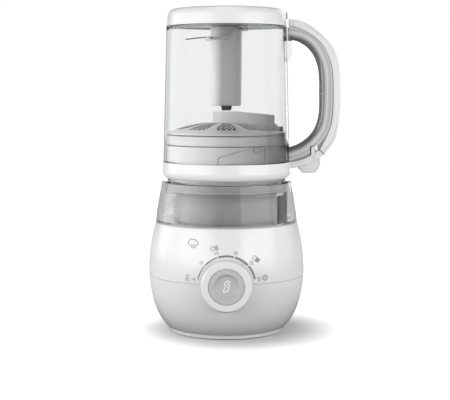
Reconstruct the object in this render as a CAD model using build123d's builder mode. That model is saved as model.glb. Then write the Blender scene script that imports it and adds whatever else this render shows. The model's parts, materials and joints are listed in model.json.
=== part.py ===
from build123d import *
from math import cos, radians, sin
import os

# Baby food maker: a round base with motor and boiler, and a clear jug that stands on its own lid.
# Millimetres. The origin is on the machine's axis at table level, +Z is up, -Y is the control
# side, and the jug's handle is at +X.

os.makedirs("parts", exist_ok=True)

# ---- driving dimensions -------------------------------------------------------------------
GAP = 0.3  # between moulded pieces that do not touch

FOOT_R = 57.0
FOOT_TOP = 4.6
SEAM_Z = 56.0
BODY_R = 76.2
TANK_LOW = 107.5
TANK_HIGH = 148.0
TANK_TOP_R = 63.3
WALL = 2.4

KNOB_Z = 56.0
KNOB_SEAT_Y = -77.0
KNOB_BACK_Y = -77.4
KNOB_FRONT_Y = -88.0
BUTTON_R = 17.0

SEAT_FLOOR = 143.0
SEAT_REST = 149.6
PORT_X = 34.0
OUTLET_X = 57.5
TUBE_R = 2.5

LID_LOW = 150.1
LID_R = 62.5
LID_TOP = 165.6
LID_FLOOR = 152.4
COLLAR_R = 58.0
COLLAR_TOP = 182.4

JUG_LOW_Z = 165.9
JUG_LOW_R = 62.0
JUG_HIGH_Z = 296.2
JUG_HIGH_R = 58.3
JUG_WALL = 2.6
JUG_CEILING = 297.6
CAP_LOW = 296.6
CAP_TOP = 312.8

HANDLE_HALF = 12.0
ARM_HALF = 11.0
PIVOT_X = 84.4
PIVOT_Z = 170.2

HUB_LOW = 220.0
HUB_TOP = 296.9
HUB_R_LOW = 14.4
HUB_R_HIGH = 15.2
SPINDLE_R = 3.0
RUNNING = 0.05

BOSS_R = 13.3
BOSS_TOP = 214.2
DUCT_END = 46.5
SHELF_Z = 199.8

MOTOR_R = 33.0
STACK_LOW = 30.0
STACK_HIGH = 58.0

body_lower = [(58.2, FOOT_TOP), (66.3, 15.4), (73.0, 33.5), (BODY_R, SEAM_Z - 0.15)]
body_upper = [(BODY_R, SEAM_Z + 0.15), (74.7, 81.5), (69.4, 107.0)]


# ---- shared shapes ------------------------------------------------------------------------
def section(*points):
    """The closed outline through points, each (X or radius, Z), in the XZ plane."""
    with BuildSketch(Plane.XZ) as outline:
        with BuildLine():
            Polyline(*points, close=True)
        make_face()
    return outline.sketch


def wall_section(outline, wall):
    """The half section of a curved wall: a spline through outline, and the same one inside it."""
    inner = [(r - wall, z) for r, z in outline]
    with BuildSketch(Plane.XZ) as half:
        with BuildLine():
            Spline(*outline)
            Line(outline[-1], inner[-1])
            Spline(*inner)
            Line(inner[0], outline[0])
        make_face()
    return half.sketch


def solid_section(outline):
    """The half section of the whole space inside a curved wall."""
    low, high = outline[0], outline[-1]
    with BuildSketch(Plane.XZ) as half:
        with BuildLine():
            Spline(*outline)
            Polyline(high, (0, high[1]), (0, low[1]), low)
        make_face()
    return half.sketch


def ring_sketch(height, outer, inner):
    """A flat ring about the machine's axis at a height."""
    with BuildSketch(Plane.XY.offset(height)) as flat:
        Circle(outer)
        Circle(inner, mode=Mode.SUBTRACT)
    return flat.sketch


def knob_plane(y):
    """The plane across the control axis at y, facing the user, with +Z up in it."""
    return Plane(origin=(0, y, KNOB_Z), x_dir=(1, 0, 0), z_dir=(0, -1, 0))


# ---- foot and bottom ----------------------------------------------------------------------
with BuildPart() as rubber_foot:
    extrude(ring_sketch(0, 54.0, 48.0), amount=1.6)
rubber_foot.part.label = "rubber_foot"
export_step(rubber_foot.part, "parts/rubber_foot.step")

with BuildPart() as foot_ring:
    extrude(ring_sketch(0.8, FOOT_R, 45.0), amount=FOOT_TOP - 0.8)
    extrude(ring_sketch(0.8, 54.2, 47.8), amount=0.9, mode=Mode.SUBTRACT)
    fillet(foot_ring.edges().filter_by(GeomType.CIRCLE).group_by(Axis.Z)[0].sort_by(SortBy.RADIUS)[-1], 0.8)
foot_ring.part.label = "foot_ring"
export_step(foot_ring.part, "parts/foot_ring.step")

SCREW_PCD_R = 38.0
with BuildPart() as bottom_cover:
    with BuildSketch(Plane.XY.offset(FOOT_TOP)):
        Circle(55.2)
        with PolarLocations(SCREW_PCD_R, 4, start_angle=45):
            Circle(1.8, mode=Mode.SUBTRACT)
        for vent_r in (16, 22, 28):
            with PolarLocations(vent_r, 8, start_angle=22.5):
                SlotOverall(7.0, 2.2, rotation=90, mode=Mode.SUBTRACT)
    extrude(amount=2.2)
bottom_cover.part.label = "bottom_cover"
export_step(bottom_cover.part, "parts/bottom_cover.step")

with BuildPart() as chassis_plate:
    with BuildSketch(Plane.XY.offset(7.0)):
        Circle(54.6)
        Circle(20.0, mode=Mode.SUBTRACT)
    extrude(amount=2.4)
    with BuildSketch(Plane.XY.offset(9.4)):
        with PolarLocations(SCREW_PCD_R, 4, start_angle=45):
            Circle(4.0)
    extrude(amount=11.0)
    with BuildSketch(Plane.XY.offset(7.0)):
        with PolarLocations(SCREW_PCD_R, 4, start_angle=45):
            Circle(1.6)
    extrude(amount=12.0, mode=Mode.SUBTRACT)
chassis_plate.part.label = "chassis_plate"
export_step(chassis_plate.part, "parts/chassis_plate.step")

with BuildPart() as bottom_screws:
    with BuildSketch(Plane.XY.offset(FOOT_TOP - 2.0)):
        with PolarLocations(SCREW_PCD_R, 4, start_angle=45):
            Circle(3.0)
    extrude(amount=2.0)
    with BuildSketch(Plane.XY.offset(FOOT_TOP)):
        with PolarLocations(SCREW_PCD_R, 4, start_angle=45):
            Circle(1.5)
    extrude(amount=12.0)
    with BuildSketch(Plane.XY.offset(FOOT_TOP - 2.0)):
        with PolarLocations(SCREW_PCD_R, 4, start_angle=45):
            Rectangle(3.6, 0.8)
            Rectangle(0.8, 3.6)
    extrude(amount=1.0, mode=Mode.SUBTRACT)
bottom_screws.part.label = "bottom_screws"
export_step(bottom_screws.part, "parts/bottom_screws.step")

# ---- housings -----------------------------------------------------------------------------
CORD_Z = 22.0
GLAND_R = 5.0
with BuildPart() as lower_housing:
    revolve(wall_section(body_lower, WALL), axis=Axis.Z)
    with BuildSketch(knob_plane(-60)):
        Circle(8.5)
    extrude(amount=20, mode=Mode.SUBTRACT)
    with BuildSketch(Plane(origin=(0, 55, CORD_Z), z_dir=(0, 1, 0))):
        Circle(GLAND_R + 0.1)
    extrude(amount=25, mode=Mode.SUBTRACT)
lower_housing.part.label = "lower_housing"
export_step(lower_housing.part, "parts/lower_housing.step")

BULGE_HALF = 21.0
BULGE_Y = 80.0
BULGE_IN = BULGE_Y - WALL
with BuildPart() as rear_bulge:
    with BuildSketch(Plane.YZ):
        with BuildLine():
            Polyline((60, 72), (74.6, 76), (BULGE_Y, 94), (BULGE_Y, 107.0), (60, 107.0), close=True)
        make_face()
    extrude(amount=BULGE_HALF, both=True)
    fillet(rear_bulge.edges().filter_by(Axis.Z).sort_by(Axis.Y)[-2:], 5.0)
with BuildPart() as bulge_space:
    with BuildSketch(Plane.YZ):
        with BuildLine():
            Polyline((50, 78), (72.0, 79), (BULGE_IN, 95), (BULGE_IN, 104.6), (50, 104.6), close=True)
        make_face()
    extrude(amount=BULGE_HALF - WALL, both=True)
with BuildPart() as upper_space:
    revolve(solid_section([(r - WALL, z) for r, z in body_upper]), axis=Axis.Z)

with BuildPart() as upper_housing:
    revolve(solid_section(body_upper), axis=Axis.Z)
    add(rear_bulge.part)
    add(upper_space.part, mode=Mode.SUBTRACT)
    add(bulge_space.part, mode=Mode.SUBTRACT)
    extrude(ring_sketch(104.8, 68.4, 44.0), amount=2.2)
    with BuildSketch(Plane.XZ.offset(-62)):
        with Locations((0, 105.9)):
            Rectangle(2 * BULGE_HALF - 5, 2.2)
    extrude(amount=-(BULGE_IN - 62 + 0.5))
    with BuildSketch(Plane.XY.offset(100)):
        with Locations((OUTLET_X, 0)):
            Circle(TUBE_R + 0.2)
    extrude(amount=10, mode=Mode.SUBTRACT)
    with BuildSketch(knob_plane(-60)):
        Circle(8.5)
    extrude(amount=20, mode=Mode.SUBTRACT)
upper_housing.part.label = "upper_housing"
export_step(upper_housing.part, "parts/upper_housing.step")

with BuildPart() as cord_gland:
    with BuildSketch(Plane(origin=(0, 64.0, CORD_Z), z_dir=(0, 1, 0))):
        Circle(GLAND_R)
    extrude(amount=10.0)
    with BuildSketch(Plane(origin=(0, 64.0, CORD_Z), z_dir=(0, 1, 0))):
        Circle(3.2)
    extrude(amount=10.0, mode=Mode.SUBTRACT)
    fillet(cord_gland.edges().filter_by(GeomType.CIRCLE).sort_by(Axis.Y)[-1], 0.5)
cord_gland.part.label = "cord_gland"
export_step(cord_gland.part, "parts/cord_gland.step")

# ---- controls -----------------------------------------------------------------------------
seam_edge = [(BODY_R + 0.1, SEAM_Z)]
around_lower = [(r + 0.1, z) for r, z in body_lower[:-1]] + seam_edge
around_upper = seam_edge + [(r + 0.1, z) for r, z in body_upper[1:]]
with BuildPart() as body_space:
    revolve(solid_section(around_lower), axis=Axis.Z)
    revolve(solid_section(around_upper), axis=Axis.Z)
with BuildPart() as dial_seat:
    with BuildSketch(knob_plane(-66)):
        Circle(25.2)
        Circle(9.0, mode=Mode.SUBTRACT)
    extrude(amount=-66 - KNOB_SEAT_Y)
    add(body_space.part, mode=Mode.SUBTRACT)
dial_seat.part.label = "dial_seat"
export_step(dial_seat.part, "parts/dial_seat.step")

DIAL_TUBE_R = 7.0
DIAL_TUBE_BORE = 5.3
with BuildPart() as timer_dial:
    with BuildSketch(knob_plane(KNOB_BACK_Y)):
        Circle(24.8)
    with BuildSketch(knob_plane(KNOB_FRONT_Y + 1.2)):
        Circle(23.2)
    loft()
    with BuildSketch(knob_plane(KNOB_FRONT_Y + 1.2)):
        Circle(23.2)
    extrude(amount=1.2)
    fillet(timer_dial.edges().filter_by(GeomType.CIRCLE).sort_by(Axis.Y)[0], 1.0)
    with BuildSketch(knob_plane(-64)):
        Circle(DIAL_TUBE_R)
    extrude(amount=-64 - KNOB_BACK_Y)
    with BuildSketch(knob_plane(-79.6)):
        Circle(BUTTON_R + GAP + 0.1)
    extrude(amount=12, mode=Mode.SUBTRACT)
    with BuildSketch(knob_plane(-60)):
        Circle(DIAL_TUBE_BORE)
    extrude(amount=30, mode=Mode.SUBTRACT)
    with BuildSketch(Plane(origin=(-24.4, -80.6, KNOB_Z), z_dir=(-1, 0, 0))):
        Circle(0.9)
    extrude(amount=2.0, both=True, mode=Mode.SUBTRACT)
timer_dial.part.label = "timer_dial"
export_step(timer_dial.part, "parts/timer_dial.step")

STEM_R = 2.2
with BuildPart() as blend_button:
    with BuildSketch(knob_plane(-84.4)):
        Circle(BUTTON_R)
    extrude(amount=3.2)
    fillet(blend_button.edges().filter_by(GeomType.CIRCLE).sort_by(Axis.Y)[0], 0.5)
    with BuildSketch(knob_plane(-86.2)):
        Circle(10.6)
    with BuildSketch(knob_plane(-87.6)):
        Circle(12.2)
    loft(mode=Mode.SUBTRACT)
    with BuildSketch(knob_plane(-62)):
        Circle(STEM_R)
    extrude(amount=22.6)
blend_button.part.label = "blend_button"
export_step(blend_button.part, "parts/blend_button.step")

with BuildPart() as button_guide:
    with BuildSketch(knob_plane(-60.8)):
        Circle(4.9)
        Circle(STEM_R + 0.2, mode=Mode.SUBTRACT)
    extrude(amount=18.6)
button_guide.part.label = "button_guide"
export_step(button_guide.part, "parts/button_guide.step")

with BuildPart() as button_spring:
    with BuildLine() as coil:
        Helix(pitch=1.1, height=4.0, radius=3.8, center=(0, -79.9, KNOB_Z), direction=(0, -1, 0))
    with BuildSketch(Plane(origin=coil.line @ 0, z_dir=coil.line % 0)):
        Circle(0.3)
    sweep(is_frenet=True)
button_spring.part.label = "button_spring"
export_step(button_spring.part, "parts/button_spring.step")

with BuildPart() as control_board:
    with BuildSketch(Plane(origin=(0, -59.0, KNOB_Z), x_dir=(1, 0, 0), z_dir=(0, -1, 0))):
        RectangleRounded(56.0, 52.0, 2.0)
        Circle(STEM_R + 0.4, mode=Mode.SUBTRACT)
        with GridLocations(48, 44, 2, 2):
            Circle(1.6, mode=Mode.SUBTRACT)
    extrude(amount=1.6)
control_board.part.label = "control_board"
export_step(control_board.part, "parts/control_board.step")

with BuildPart() as board_parts:
    with BuildSketch(Plane.XZ.offset(59.0)):
        with Locations((-18, 72)):
            Circle(5.0)
        with Locations((17, 72)):
            Rectangle(12, 10)
        with Locations((-16, 38)):
            Rectangle(10, 14)
        with Locations((17, 38)):
            Circle(4.0)
    extrude(amount=-9.0)
board_parts.part.label = "board_parts"
export_step(board_parts.part, "parts/board_parts.step")

with BuildPart() as dial_encoder:
    with BuildSketch(knob_plane(-60.8)):
        RectangleRounded(24.0, 24.0, 3.0)
        Circle(DIAL_TUBE_R + 0.3, mode=Mode.SUBTRACT)
    extrude(amount=8.0)
dial_encoder.part.label = "dial_encoder"
export_step(dial_encoder.part, "parts/dial_encoder.step")

with BuildPart() as blend_switch:
    with BuildSketch(knob_plane(-50.0)):
        RectangleRounded(13.0, 6.5, 0.8)
    extrude(amount=8.6)
blend_switch.part.label = "blend_switch"
export_step(blend_switch.part, "parts/blend_switch.step")

# ---- motor --------------------------------------------------------------------------------
with BuildPart() as motor_stator:
    extrude(ring_sketch(STACK_LOW, MOTOR_R, 19.6), amount=STACK_HIGH - STACK_LOW)
    with BuildSketch(Plane.XY.offset(STACK_LOW)):
        with PolarLocations(25.5, 2):
            SlotOverall(20.0, 7.0, rotation=90)
    extrude(amount=STACK_HIGH - STACK_LOW, mode=Mode.SUBTRACT)
motor_stator.part.label = "motor_stator"
export_step(motor_stator.part, "parts/motor_stator.step")

with BuildPart() as field_windings:
    for coil_low in (STACK_LOW - 8.0, STACK_HIGH + 0.2):
        extrude(ring_sketch(coil_low, 30.0, 21.0), amount=7.8)
    fillet(field_windings.edges().filter_by(GeomType.CIRCLE), 2.0)
field_windings.part.label = "field_windings"
export_step(field_windings.part, "parts/field_windings.step")

BEARING_R = 8.0
bracket_levels = (16.0, 70.0)


def bracket(low):
    """A motor end bracket: a bearing cup on a disc with air windows."""
    with BuildPart() as piece:
        with BuildSketch(Plane.XY.offset(low)):
            Circle(MOTOR_R)
            Circle(BEARING_R + RUNNING, mode=Mode.SUBTRACT)
            with PolarLocations(21.5, 4, start_angle=45):
                SlotOverall(16.0, 9.0, rotation=90, mode=Mode.SUBTRACT)
        extrude(amount=3.0)
        extrude(ring_sketch(low, BEARING_R + 2.6, BEARING_R + RUNNING), amount=6.0)
    return piece


motor_bracket_lower = bracket(bracket_levels[0])
motor_bracket_lower.part.label = "motor_bracket_lower"
export_step(motor_bracket_lower.part, "parts/motor_bracket_lower.step")

motor_bracket_upper = bracket(bracket_levels[1])
motor_bracket_upper.part.label = "motor_bracket_upper"
export_step(motor_bracket_upper.part, "parts/motor_bracket_upper.step")

with BuildPart() as motor_bearings:
    for level in bracket_levels:
        extrude(ring_sketch(level + 0.5, BEARING_R, SPINDLE_R + RUNNING), amount=5.0)
motor_bearings.part.label = "motor_bearings"
export_step(motor_bearings.part, "parts/motor_bearings.step")

with BuildPart() as motor_mounts:
    with BuildSketch(Plane.XY.offset(9.4)):
        with PolarLocations(29.0, 4):
            Circle(3.4)
    extrude(amount=bracket_levels[0] - 9.4)
motor_mounts.part.label = "motor_mounts"
export_step(motor_mounts.part, "parts/motor_mounts.step")

with BuildPart() as brush_holders:
    with BuildSketch(Plane.XY.offset(60.0)):
        with Locations((0, 14.0), (0, -14.0)):
            Rectangle(5.0, 7.0)
    extrude(amount=7.0)
brush_holders.part.label = "brush_holders"
export_step(brush_holders.part, "parts/brush_holders.step")

COUPLING_LOW = 147.0
COUPLING_TOP = 157.6
with BuildPart() as motor_shaft:
    with BuildSketch(Plane.XY.offset(12.0)):
        Circle(SPINDLE_R)
    extrude(amount=COUPLING_TOP - 14.0)
motor_shaft.part.label = "motor_shaft"
export_step(motor_shaft.part, "parts/motor_shaft.step")

with BuildPart() as armature:
    with BuildSketch(Plane.XY.offset(STACK_LOW + 0.5)):
        Circle(19.0)
        with PolarLocations(16.6, 12):
            SlotOverall(5.0, 2.4, mode=Mode.SUBTRACT)
        Circle(SPINDLE_R, mode=Mode.SUBTRACT)
    extrude(amount=STACK_HIGH - STACK_LOW - 1.0)
armature.part.label = "armature"
export_step(armature.part, "parts/armature.step")

with BuildPart() as commutator:
    with BuildSketch(Plane.XY.offset(59.0)):
        Circle(9.6)
        with PolarLocations(9.6, 16):
            Rectangle(1.6, 0.5, mode=Mode.SUBTRACT)
        Circle(SPINDLE_R, mode=Mode.SUBTRACT)
    extrude(amount=9.0)
commutator.part.label = "commutator"
export_step(commutator.part, "parts/commutator.step")

with BuildPart() as cooling_fan:
    extrude(ring_sketch(80.0, 30.0, SPINDLE_R), amount=1.6)
    extrude(ring_sketch(80.0, 8.0, SPINDLE_R), amount=8.0)
    with BuildSketch(Plane.XY.offset(81.6)):
        with PolarLocations(19.0, 9):
            Rectangle(19.0, 1.4, rotation=24)
    extrude(amount=6.4)
cooling_fan.part.label = "cooling_fan"
export_step(cooling_fan.part, "parts/cooling_fan.step")

with BuildPart() as drive_coupling:
    with BuildSketch(Plane.XY.offset(COUPLING_LOW)):
        Circle(10.0)
        Circle(SPINDLE_R, mode=Mode.SUBTRACT)
    extrude(amount=3.4)
    with BuildSketch(Plane.XY.offset(COUPLING_LOW + 3.4)):
        Circle(6.6)
        with PolarLocations(7.2, 6):
            Circle(1.9)
        Circle(SPINDLE_R, mode=Mode.SUBTRACT)
    extrude(amount=COUPLING_TOP - COUPLING_LOW - 3.4)
drive_coupling.part.label = "drive_coupling"
export_step(drive_coupling.part, "parts/drive_coupling.step")

# ---- boiler and water ---------------------------------------------------------------------
BOILER_LOW = 112.0
BOILER_R = 12.5
with BuildPart() as boiler:
    with BuildSketch(Plane.XY.offset(BOILER_LOW)):
        with Locations((PORT_X - 1, 0)):
            Circle(BOILER_R)
    extrude(amount=20.0)
    with BuildSketch(Plane.XY.offset(BOILER_LOW + 3.0)):
        with Locations((PORT_X - 1, 0)):
            Circle(BOILER_R - 2.0)
    extrude(amount=20.0, mode=Mode.SUBTRACT)
boiler.part.label = "boiler"
export_step(boiler.part, "parts/boiler.step")

with BuildPart() as boiler_lid:
    with BuildSketch(Plane.XY.offset(BOILER_LOW + 20.0)):
        with Locations((PORT_X - 1, 0)):
            Circle(BOILER_R + 0.8)
        with Locations((PORT_X, 0)):
            Circle(2.6, mode=Mode.SUBTRACT)
    extrude(amount=1.6)
boiler_lid.part.label = "boiler_lid"
export_step(boiler_lid.part, "parts/boiler_lid.step")

with BuildPart() as thermostat:
    with BuildSketch(Plane.XY.offset(BOILER_LOW - 5.0)):
        with Locations((PORT_X - 1, 0)):
            Circle(7.0)
    extrude(amount=5.0)
    with BuildSketch(Plane.XY.offset(BOILER_LOW - 8.0)):
        with Locations((PORT_X - 5, 0), (PORT_X + 3, 0)):
            Rectangle(0.8, 5.0)
    extrude(amount=3.0)
thermostat.part.label = "thermostat"
export_step(thermostat.part, "parts/thermostat.step")

with BuildPart() as steam_nozzle:
    with BuildSketch(Plane.XY.offset(BOILER_LOW + 21.6)):
        with Locations((PORT_X, 0)):
            Circle(4.4)
    extrude(amount=151.2 - BOILER_LOW - 21.6)
    with BuildSketch(Plane.XY.offset(BOILER_LOW + 21.6)):
        with Locations((PORT_X, 0)):
            Circle(2.4)
    extrude(amount=20, mode=Mode.SUBTRACT)
steam_nozzle.part.label = "steam_nozzle"
export_step(steam_nozzle.part, "parts/steam_nozzle.step")

with BuildPart() as water_tube:
    with BuildLine(Plane.XZ) as route:
        down = [(OUTLET_X, 107.3), (OUTLET_X, 94.0)]
        FilletPolyline(*down, (PORT_X - 1, 94.0), (PORT_X - 1, 103.6), radius=7.0)
    with BuildSketch(Plane.XY.offset(107.3)):
        with Locations((OUTLET_X, 0)):
            Circle(TUBE_R)
            Circle(TUBE_R - 1.0, mode=Mode.SUBTRACT)
    sweep()
water_tube.part.label = "water_tube"
export_step(water_tube.part, "parts/water_tube.step")

PIN_X = -44.0
with BuildPart() as jug_seat:
    revolve(
        section(
            (47.2, 107.3),
            (49.2, 107.3),
            (49.2, 137.5),
            (57.2, 137.5),
            (57.2, 146.4),
            (53.8, 146.4),
            (53.8, SEAT_REST),
            (50.8, SEAT_REST),
            (50.8, SEAT_FLOOR + 2),
            (5.0, SEAT_FLOOR + 2),
            (5.0, SEAT_FLOOR),
            (47.2, SEAT_FLOOR),
        ),
        axis=Axis.Z,
    )
    extrude(ring_sketch(SEAT_FLOOR + 2, 13.6, 11.6), amount=4.0)
    with BuildSketch(Plane.XY.offset(SEAT_FLOOR - 1)):
        with Locations((PORT_X, 0)):
            Circle(4.5)
        with Locations((PIN_X, 0)):
            Circle(2.6)
    extrude(amount=5, mode=Mode.SUBTRACT)
jug_seat.part.label = "jug_seat"
export_step(jug_seat.part, "parts/jug_seat.step")

with BuildPart() as interlock_pin:
    with BuildSketch(Plane.XY.offset(128.0)):
        with Locations((PIN_X, 0)):
            Circle(2.4)
    extrude(amount=149.7 - 128.0)
    fillet(interlock_pin.edges().filter_by(GeomType.CIRCLE).sort_by(Axis.Z)[-1], 1.2)
interlock_pin.part.label = "interlock_pin"
export_step(interlock_pin.part, "parts/interlock_pin.step")

with BuildPart() as interlock_switch:
    with BuildSketch(Plane.XY.offset(112.0)):
        with Locations((-37.0, 0)):
            RectangleRounded(13.0, 18.0, 1.0)
    extrude(amount=15.4)
interlock_switch.part.label = "interlock_switch"
export_step(interlock_switch.part, "parts/interlock_switch.step")

TANK_WALL = 2.0
tank_outer = [(69.3, TANK_LOW), (66.3, 130.0), (TANK_TOP_R, 145.6)]
FILLER_HALF = 15.5
HINGE_Y = 78.4
HINGE_Z = 149.4


def tank_half(inset):
    """Half section of the tank's round part, its faces moved inwards by inset."""
    wall = [(r - inset, z) for r, z in tank_outer]
    wall[0] = (wall[0][0], TANK_LOW + inset)
    inner_r = 50.0 + inset
    step_r = 58.0 + inset
    step_z = 137.0 - inset
    top = TANK_HIGH - inset
    with BuildSketch(Plane.XZ) as half:
        with BuildLine():
            Spline(*wall)
            RadiusArc(wall[-1], (wall[-1][0] - 2.3, top), -2.6)
            Polyline(
                (wall[-1][0] - 2.3, top),
                (step_r, top),
                (step_r, step_z),
                (inner_r, step_z),
                (inner_r, TANK_LOW + inset),
                wall[0],
            )
        make_face()
    return half.sketch


def filler_box(inset):
    """The tank's rear bulge, its faces moved inwards by inset."""
    with BuildPart() as box:
        with BuildSketch(Plane.XY.offset(TANK_LOW + inset)):
            with Locations((0, 70.0 - inset / 2)):
                Rectangle(2 * (BULGE_HALF - inset), 20.0 - inset)
        extrude(amount=TANK_HIGH - TANK_LOW - 2 * inset)
        fillet(box.edges().filter_by(Axis.Z).sort_by(Axis.Y)[-2:], 5.0 - inset)
    return box.part


tank_bulge = filler_box(0)
tank_bulge_space = filler_box(TANK_WALL)
with BuildPart() as water_tank:
    revolve(tank_half(0), axis=Axis.Z)
    add(tank_bulge)
    revolve(tank_half(TANK_WALL), axis=Axis.Z, mode=Mode.SUBTRACT)
    add(tank_bulge_space, mode=Mode.SUBTRACT)
    with BuildSketch(Plane.XY.offset(TANK_HIGH - 6)):
        with Locations((0, 70.5)):
            RectangleRounded(2 * FILLER_HALF, 9.0, 2.0)
    extrude(amount=10, mode=Mode.SUBTRACT)
    with BuildSketch(Plane.XY.offset(TANK_LOW - 1)):
        with Locations((OUTLET_X, 0)):
            Circle(1.5)
    extrude(amount=5, mode=Mode.SUBTRACT)
    for lug_x in (14.5, -17.5):
        with BuildSketch(Plane.YZ.offset(lug_x)):
            with Locations((HINGE_Y, HINGE_Z)):
                Circle(1.5)
            with Locations((HINGE_Y, HINGE_Z - 1.2)):
                Rectangle(3.0, 2.4)
        extrude(amount=3.0)
    with BuildSketch(Plane.YZ):
        with Locations((HINGE_Y, HINGE_Z)):
            Circle(0.75 + RUNNING)
    extrude(amount=16.5, both=True, mode=Mode.SUBTRACT)
water_tank.part.label = "water_tank"
export_step(water_tank.part, "parts/water_tank.step")

with BuildPart() as filler_flap:
    with BuildSketch(Plane.XY.offset(TANK_HIGH + 0.4)):
        with Locations((0, 71.0)):
            RectangleRounded(35.0, 11.6, 2.0)
    extrude(amount=2.0)
    with BuildSketch(Plane.YZ):
        with Locations((HINGE_Y, HINGE_Z)):
            Circle(1.15)
        with Locations((HINGE_Y - 1.2, HINGE_Z + 0.1)):
            Rectangle(2.4, 1.6)
    extrude(amount=13.9, both=True)
    with BuildSketch(Plane.YZ):
        with Locations((HINGE_Y, HINGE_Z)):
            Circle(0.75)
    extrude(amount=16.4, both=True)
filler_flap.part.label = "filler_flap"
export_step(filler_flap.part, "parts/filler_flap.step")

with BuildPart() as tank_gasket:
    extrude(ring_sketch(107.05, 68.0, 65.4), amount=0.4)
tank_gasket.part.label = "tank_gasket"
export_step(tank_gasket.part, "parts/tank_gasket.step")

# ---- lid with its arm ---------------------------------------------------------------------
arm_top = [(63.0, 165.8), (76.9, 169.1), (90.2, 177.6)]


def below_split(gap):
    """Everything below the turned surface that parts the lid's arm from the handle."""
    with BuildSketch(Plane.XZ) as half:
        with BuildLine():
            Spline(*[(r, z + gap) for r, z in arm_top], tangents=((1, 0.04), (1, 0.95)))
            Polyline(
                (90.2, 177.6 + gap),
                (90.4 + gap, 177.6 + gap / 2),
                (95.3 + gap, 173.0 + gap / 2),
                (103.0, 165.0),
                (103.0, 140.0),
                (50.0, 140.0),
                (50.0, 165.8 + gap),
                (63.0, 165.8 + gap),
            )
        make_face()
    return half.sketch


with BuildPart() as arm_zone:
    revolve(below_split(0), axis=Axis.Z)
with BuildPart() as grip_zone:
    revolve(below_split(0.4), axis=Axis.Z)

NECK_IN = 81.5
NECK_OUT = 88.4
POCKET_IN = 67.5
POCKET_OUT = 92.2
pocket_top = [(POCKET_IN, 164.0), (76.9, 166.5), (90.6, 174.4), (POCKET_OUT, 174.0)]
with BuildPart() as lid_arm:
    with BuildSketch(Plane.XZ):
        with BuildLine():
            under = Spline((61.2, 159.7), (76.9, 162.6), (95.1, 173.2), tangents=((1, 0.05), (1, 0.85)))
            Polyline(under @ 1, (101, 180), (101, 186), (61.2, 186), under @ 0)
        make_face()
    extrude(amount=ARM_HALF, both=True)
    fillet(lid_arm.edges().filter_by(GeomType.BSPLINE), 1.6)
    add(arm_zone.part, mode=Mode.INTERSECT)
    with BuildSketch(Plane.XZ):
        with BuildLine():
            Polyline((POCKET_IN, 150), *pocket_top, (POCKET_OUT, 150), close=True)
        make_face()
    extrude(amount=7.8, both=True, mode=Mode.SUBTRACT)
    with BuildSketch(Plane.XY.offset(160)):
        with Locations(((NECK_IN + NECK_OUT) / 2, 0)):
            Rectangle(NECK_OUT - NECK_IN, 8.0)
    extrude(amount=30, mode=Mode.SUBTRACT)
    with BuildSketch(Plane.XZ):
        with Locations((PIVOT_X, PIVOT_Z)):
            Circle(1.25)
    extrude(amount=15, both=True, mode=Mode.SUBTRACT)

RECESS_R = 17.0
RECESS_TOP = 162.8
with BuildPart() as jug_lid:
    with BuildSketch(Plane.XZ):
        with BuildLine():
            skirt = ThreePointArc((58.8, LID_LOW), (61.5, 152.7), (LID_R, 158.0))
            Polyline(
                skirt @ 1,
                (62.3, LID_TOP),
                (60.8, LID_TOP),
                (60.8, LID_FLOOR + WALL),
                (RECESS_R + 2.0, LID_FLOOR + WALL),
                (RECESS_R + 2.0, RECESS_TOP + 1.8),
                (0, RECESS_TOP + 1.8),
                (0, RECESS_TOP),
                (RECESS_R, RECESS_TOP),
                (RECESS_R, LID_FLOOR),
                (56.8, LID_FLOOR),
                (56.8, LID_LOW),
                skirt @ 0,
            )
        make_face()
    revolve(axis=Axis.Z)
    with BuildSketch(Plane.XY.offset(LID_FLOOR - 1)):
        with Locations((PORT_X, 0)):
            Circle(5.1)
    extrude(amount=6, mode=Mode.SUBTRACT)
    add(lid_arm.part)
jug_lid.part.label = "jug_lid"
export_step(jug_lid.part, "parts/jug_lid.step")

COLLAR_LOW = 155.0


def collar_section(outer):
    """The half section of the collar's wall and its inward foot."""
    return section(
        (outer, COLLAR_LOW),
        (outer, COLLAR_TOP),
        (55.9, COLLAR_TOP),
        (55.9, COLLAR_LOW + 1.8),
        (48.0, COLLAR_LOW + 1.8),
        (48.0, COLLAR_LOW),
    )


with BuildPart() as collar_panel:
    with BuildSketch(Plane.XZ):
        with BuildLine():
            ramp = [(-8.0, 150.0), (-8.0, 174.0), (12.0, 181.0), (36.0, 181.0), (36.0, 150.0)]
            Polyline(*ramp, close=True)
        make_face()
    extrude(amount=70)
with BuildPart() as lid_collar:
    revolve(collar_section(COLLAR_R), axis=Axis.Z)
    extrude(ring_sketch(163.0, COLLAR_R + 0.4, COLLAR_R - 0.5), amount=17.2)
    add(collar_panel.part, mode=Mode.SUBTRACT)
    revolve(collar_section(COLLAR_R - 0.3), axis=Axis.Z)
lid_collar.part.label = "lid_collar"
export_step(lid_collar.part, "parts/lid_collar.step")

with BuildPart() as steam_valve:
    with BuildSketch(Plane.XY.offset(151.6)):
        with Locations((PORT_X, 0)):
            Circle(5.0)
    extrude(amount=5.0)
    with BuildSketch(Plane.XY.offset(155.0)):
        with Locations((PORT_X, 0)):
            Circle(7.0)
    extrude(amount=1.6)
    with BuildSketch(Plane.XY.offset(151.0)):
        with Locations((PORT_X, 0)):
            Circle(2.4)
    extrude(amount=8.0, mode=Mode.SUBTRACT)
steam_valve.part.label = "steam_valve"
export_step(steam_valve.part, "parts/steam_valve.step")

with BuildPart() as jug_seal:
    extrude(ring_sketch(155.2, 60.4, 58.4), amount=1.4)
    fillet(jug_seal.edges().filter_by(GeomType.CIRCLE), 0.4)
jug_seal.part.label = "jug_seal"
export_step(jug_seal.part, "parts/jug_seal.step")

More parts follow.
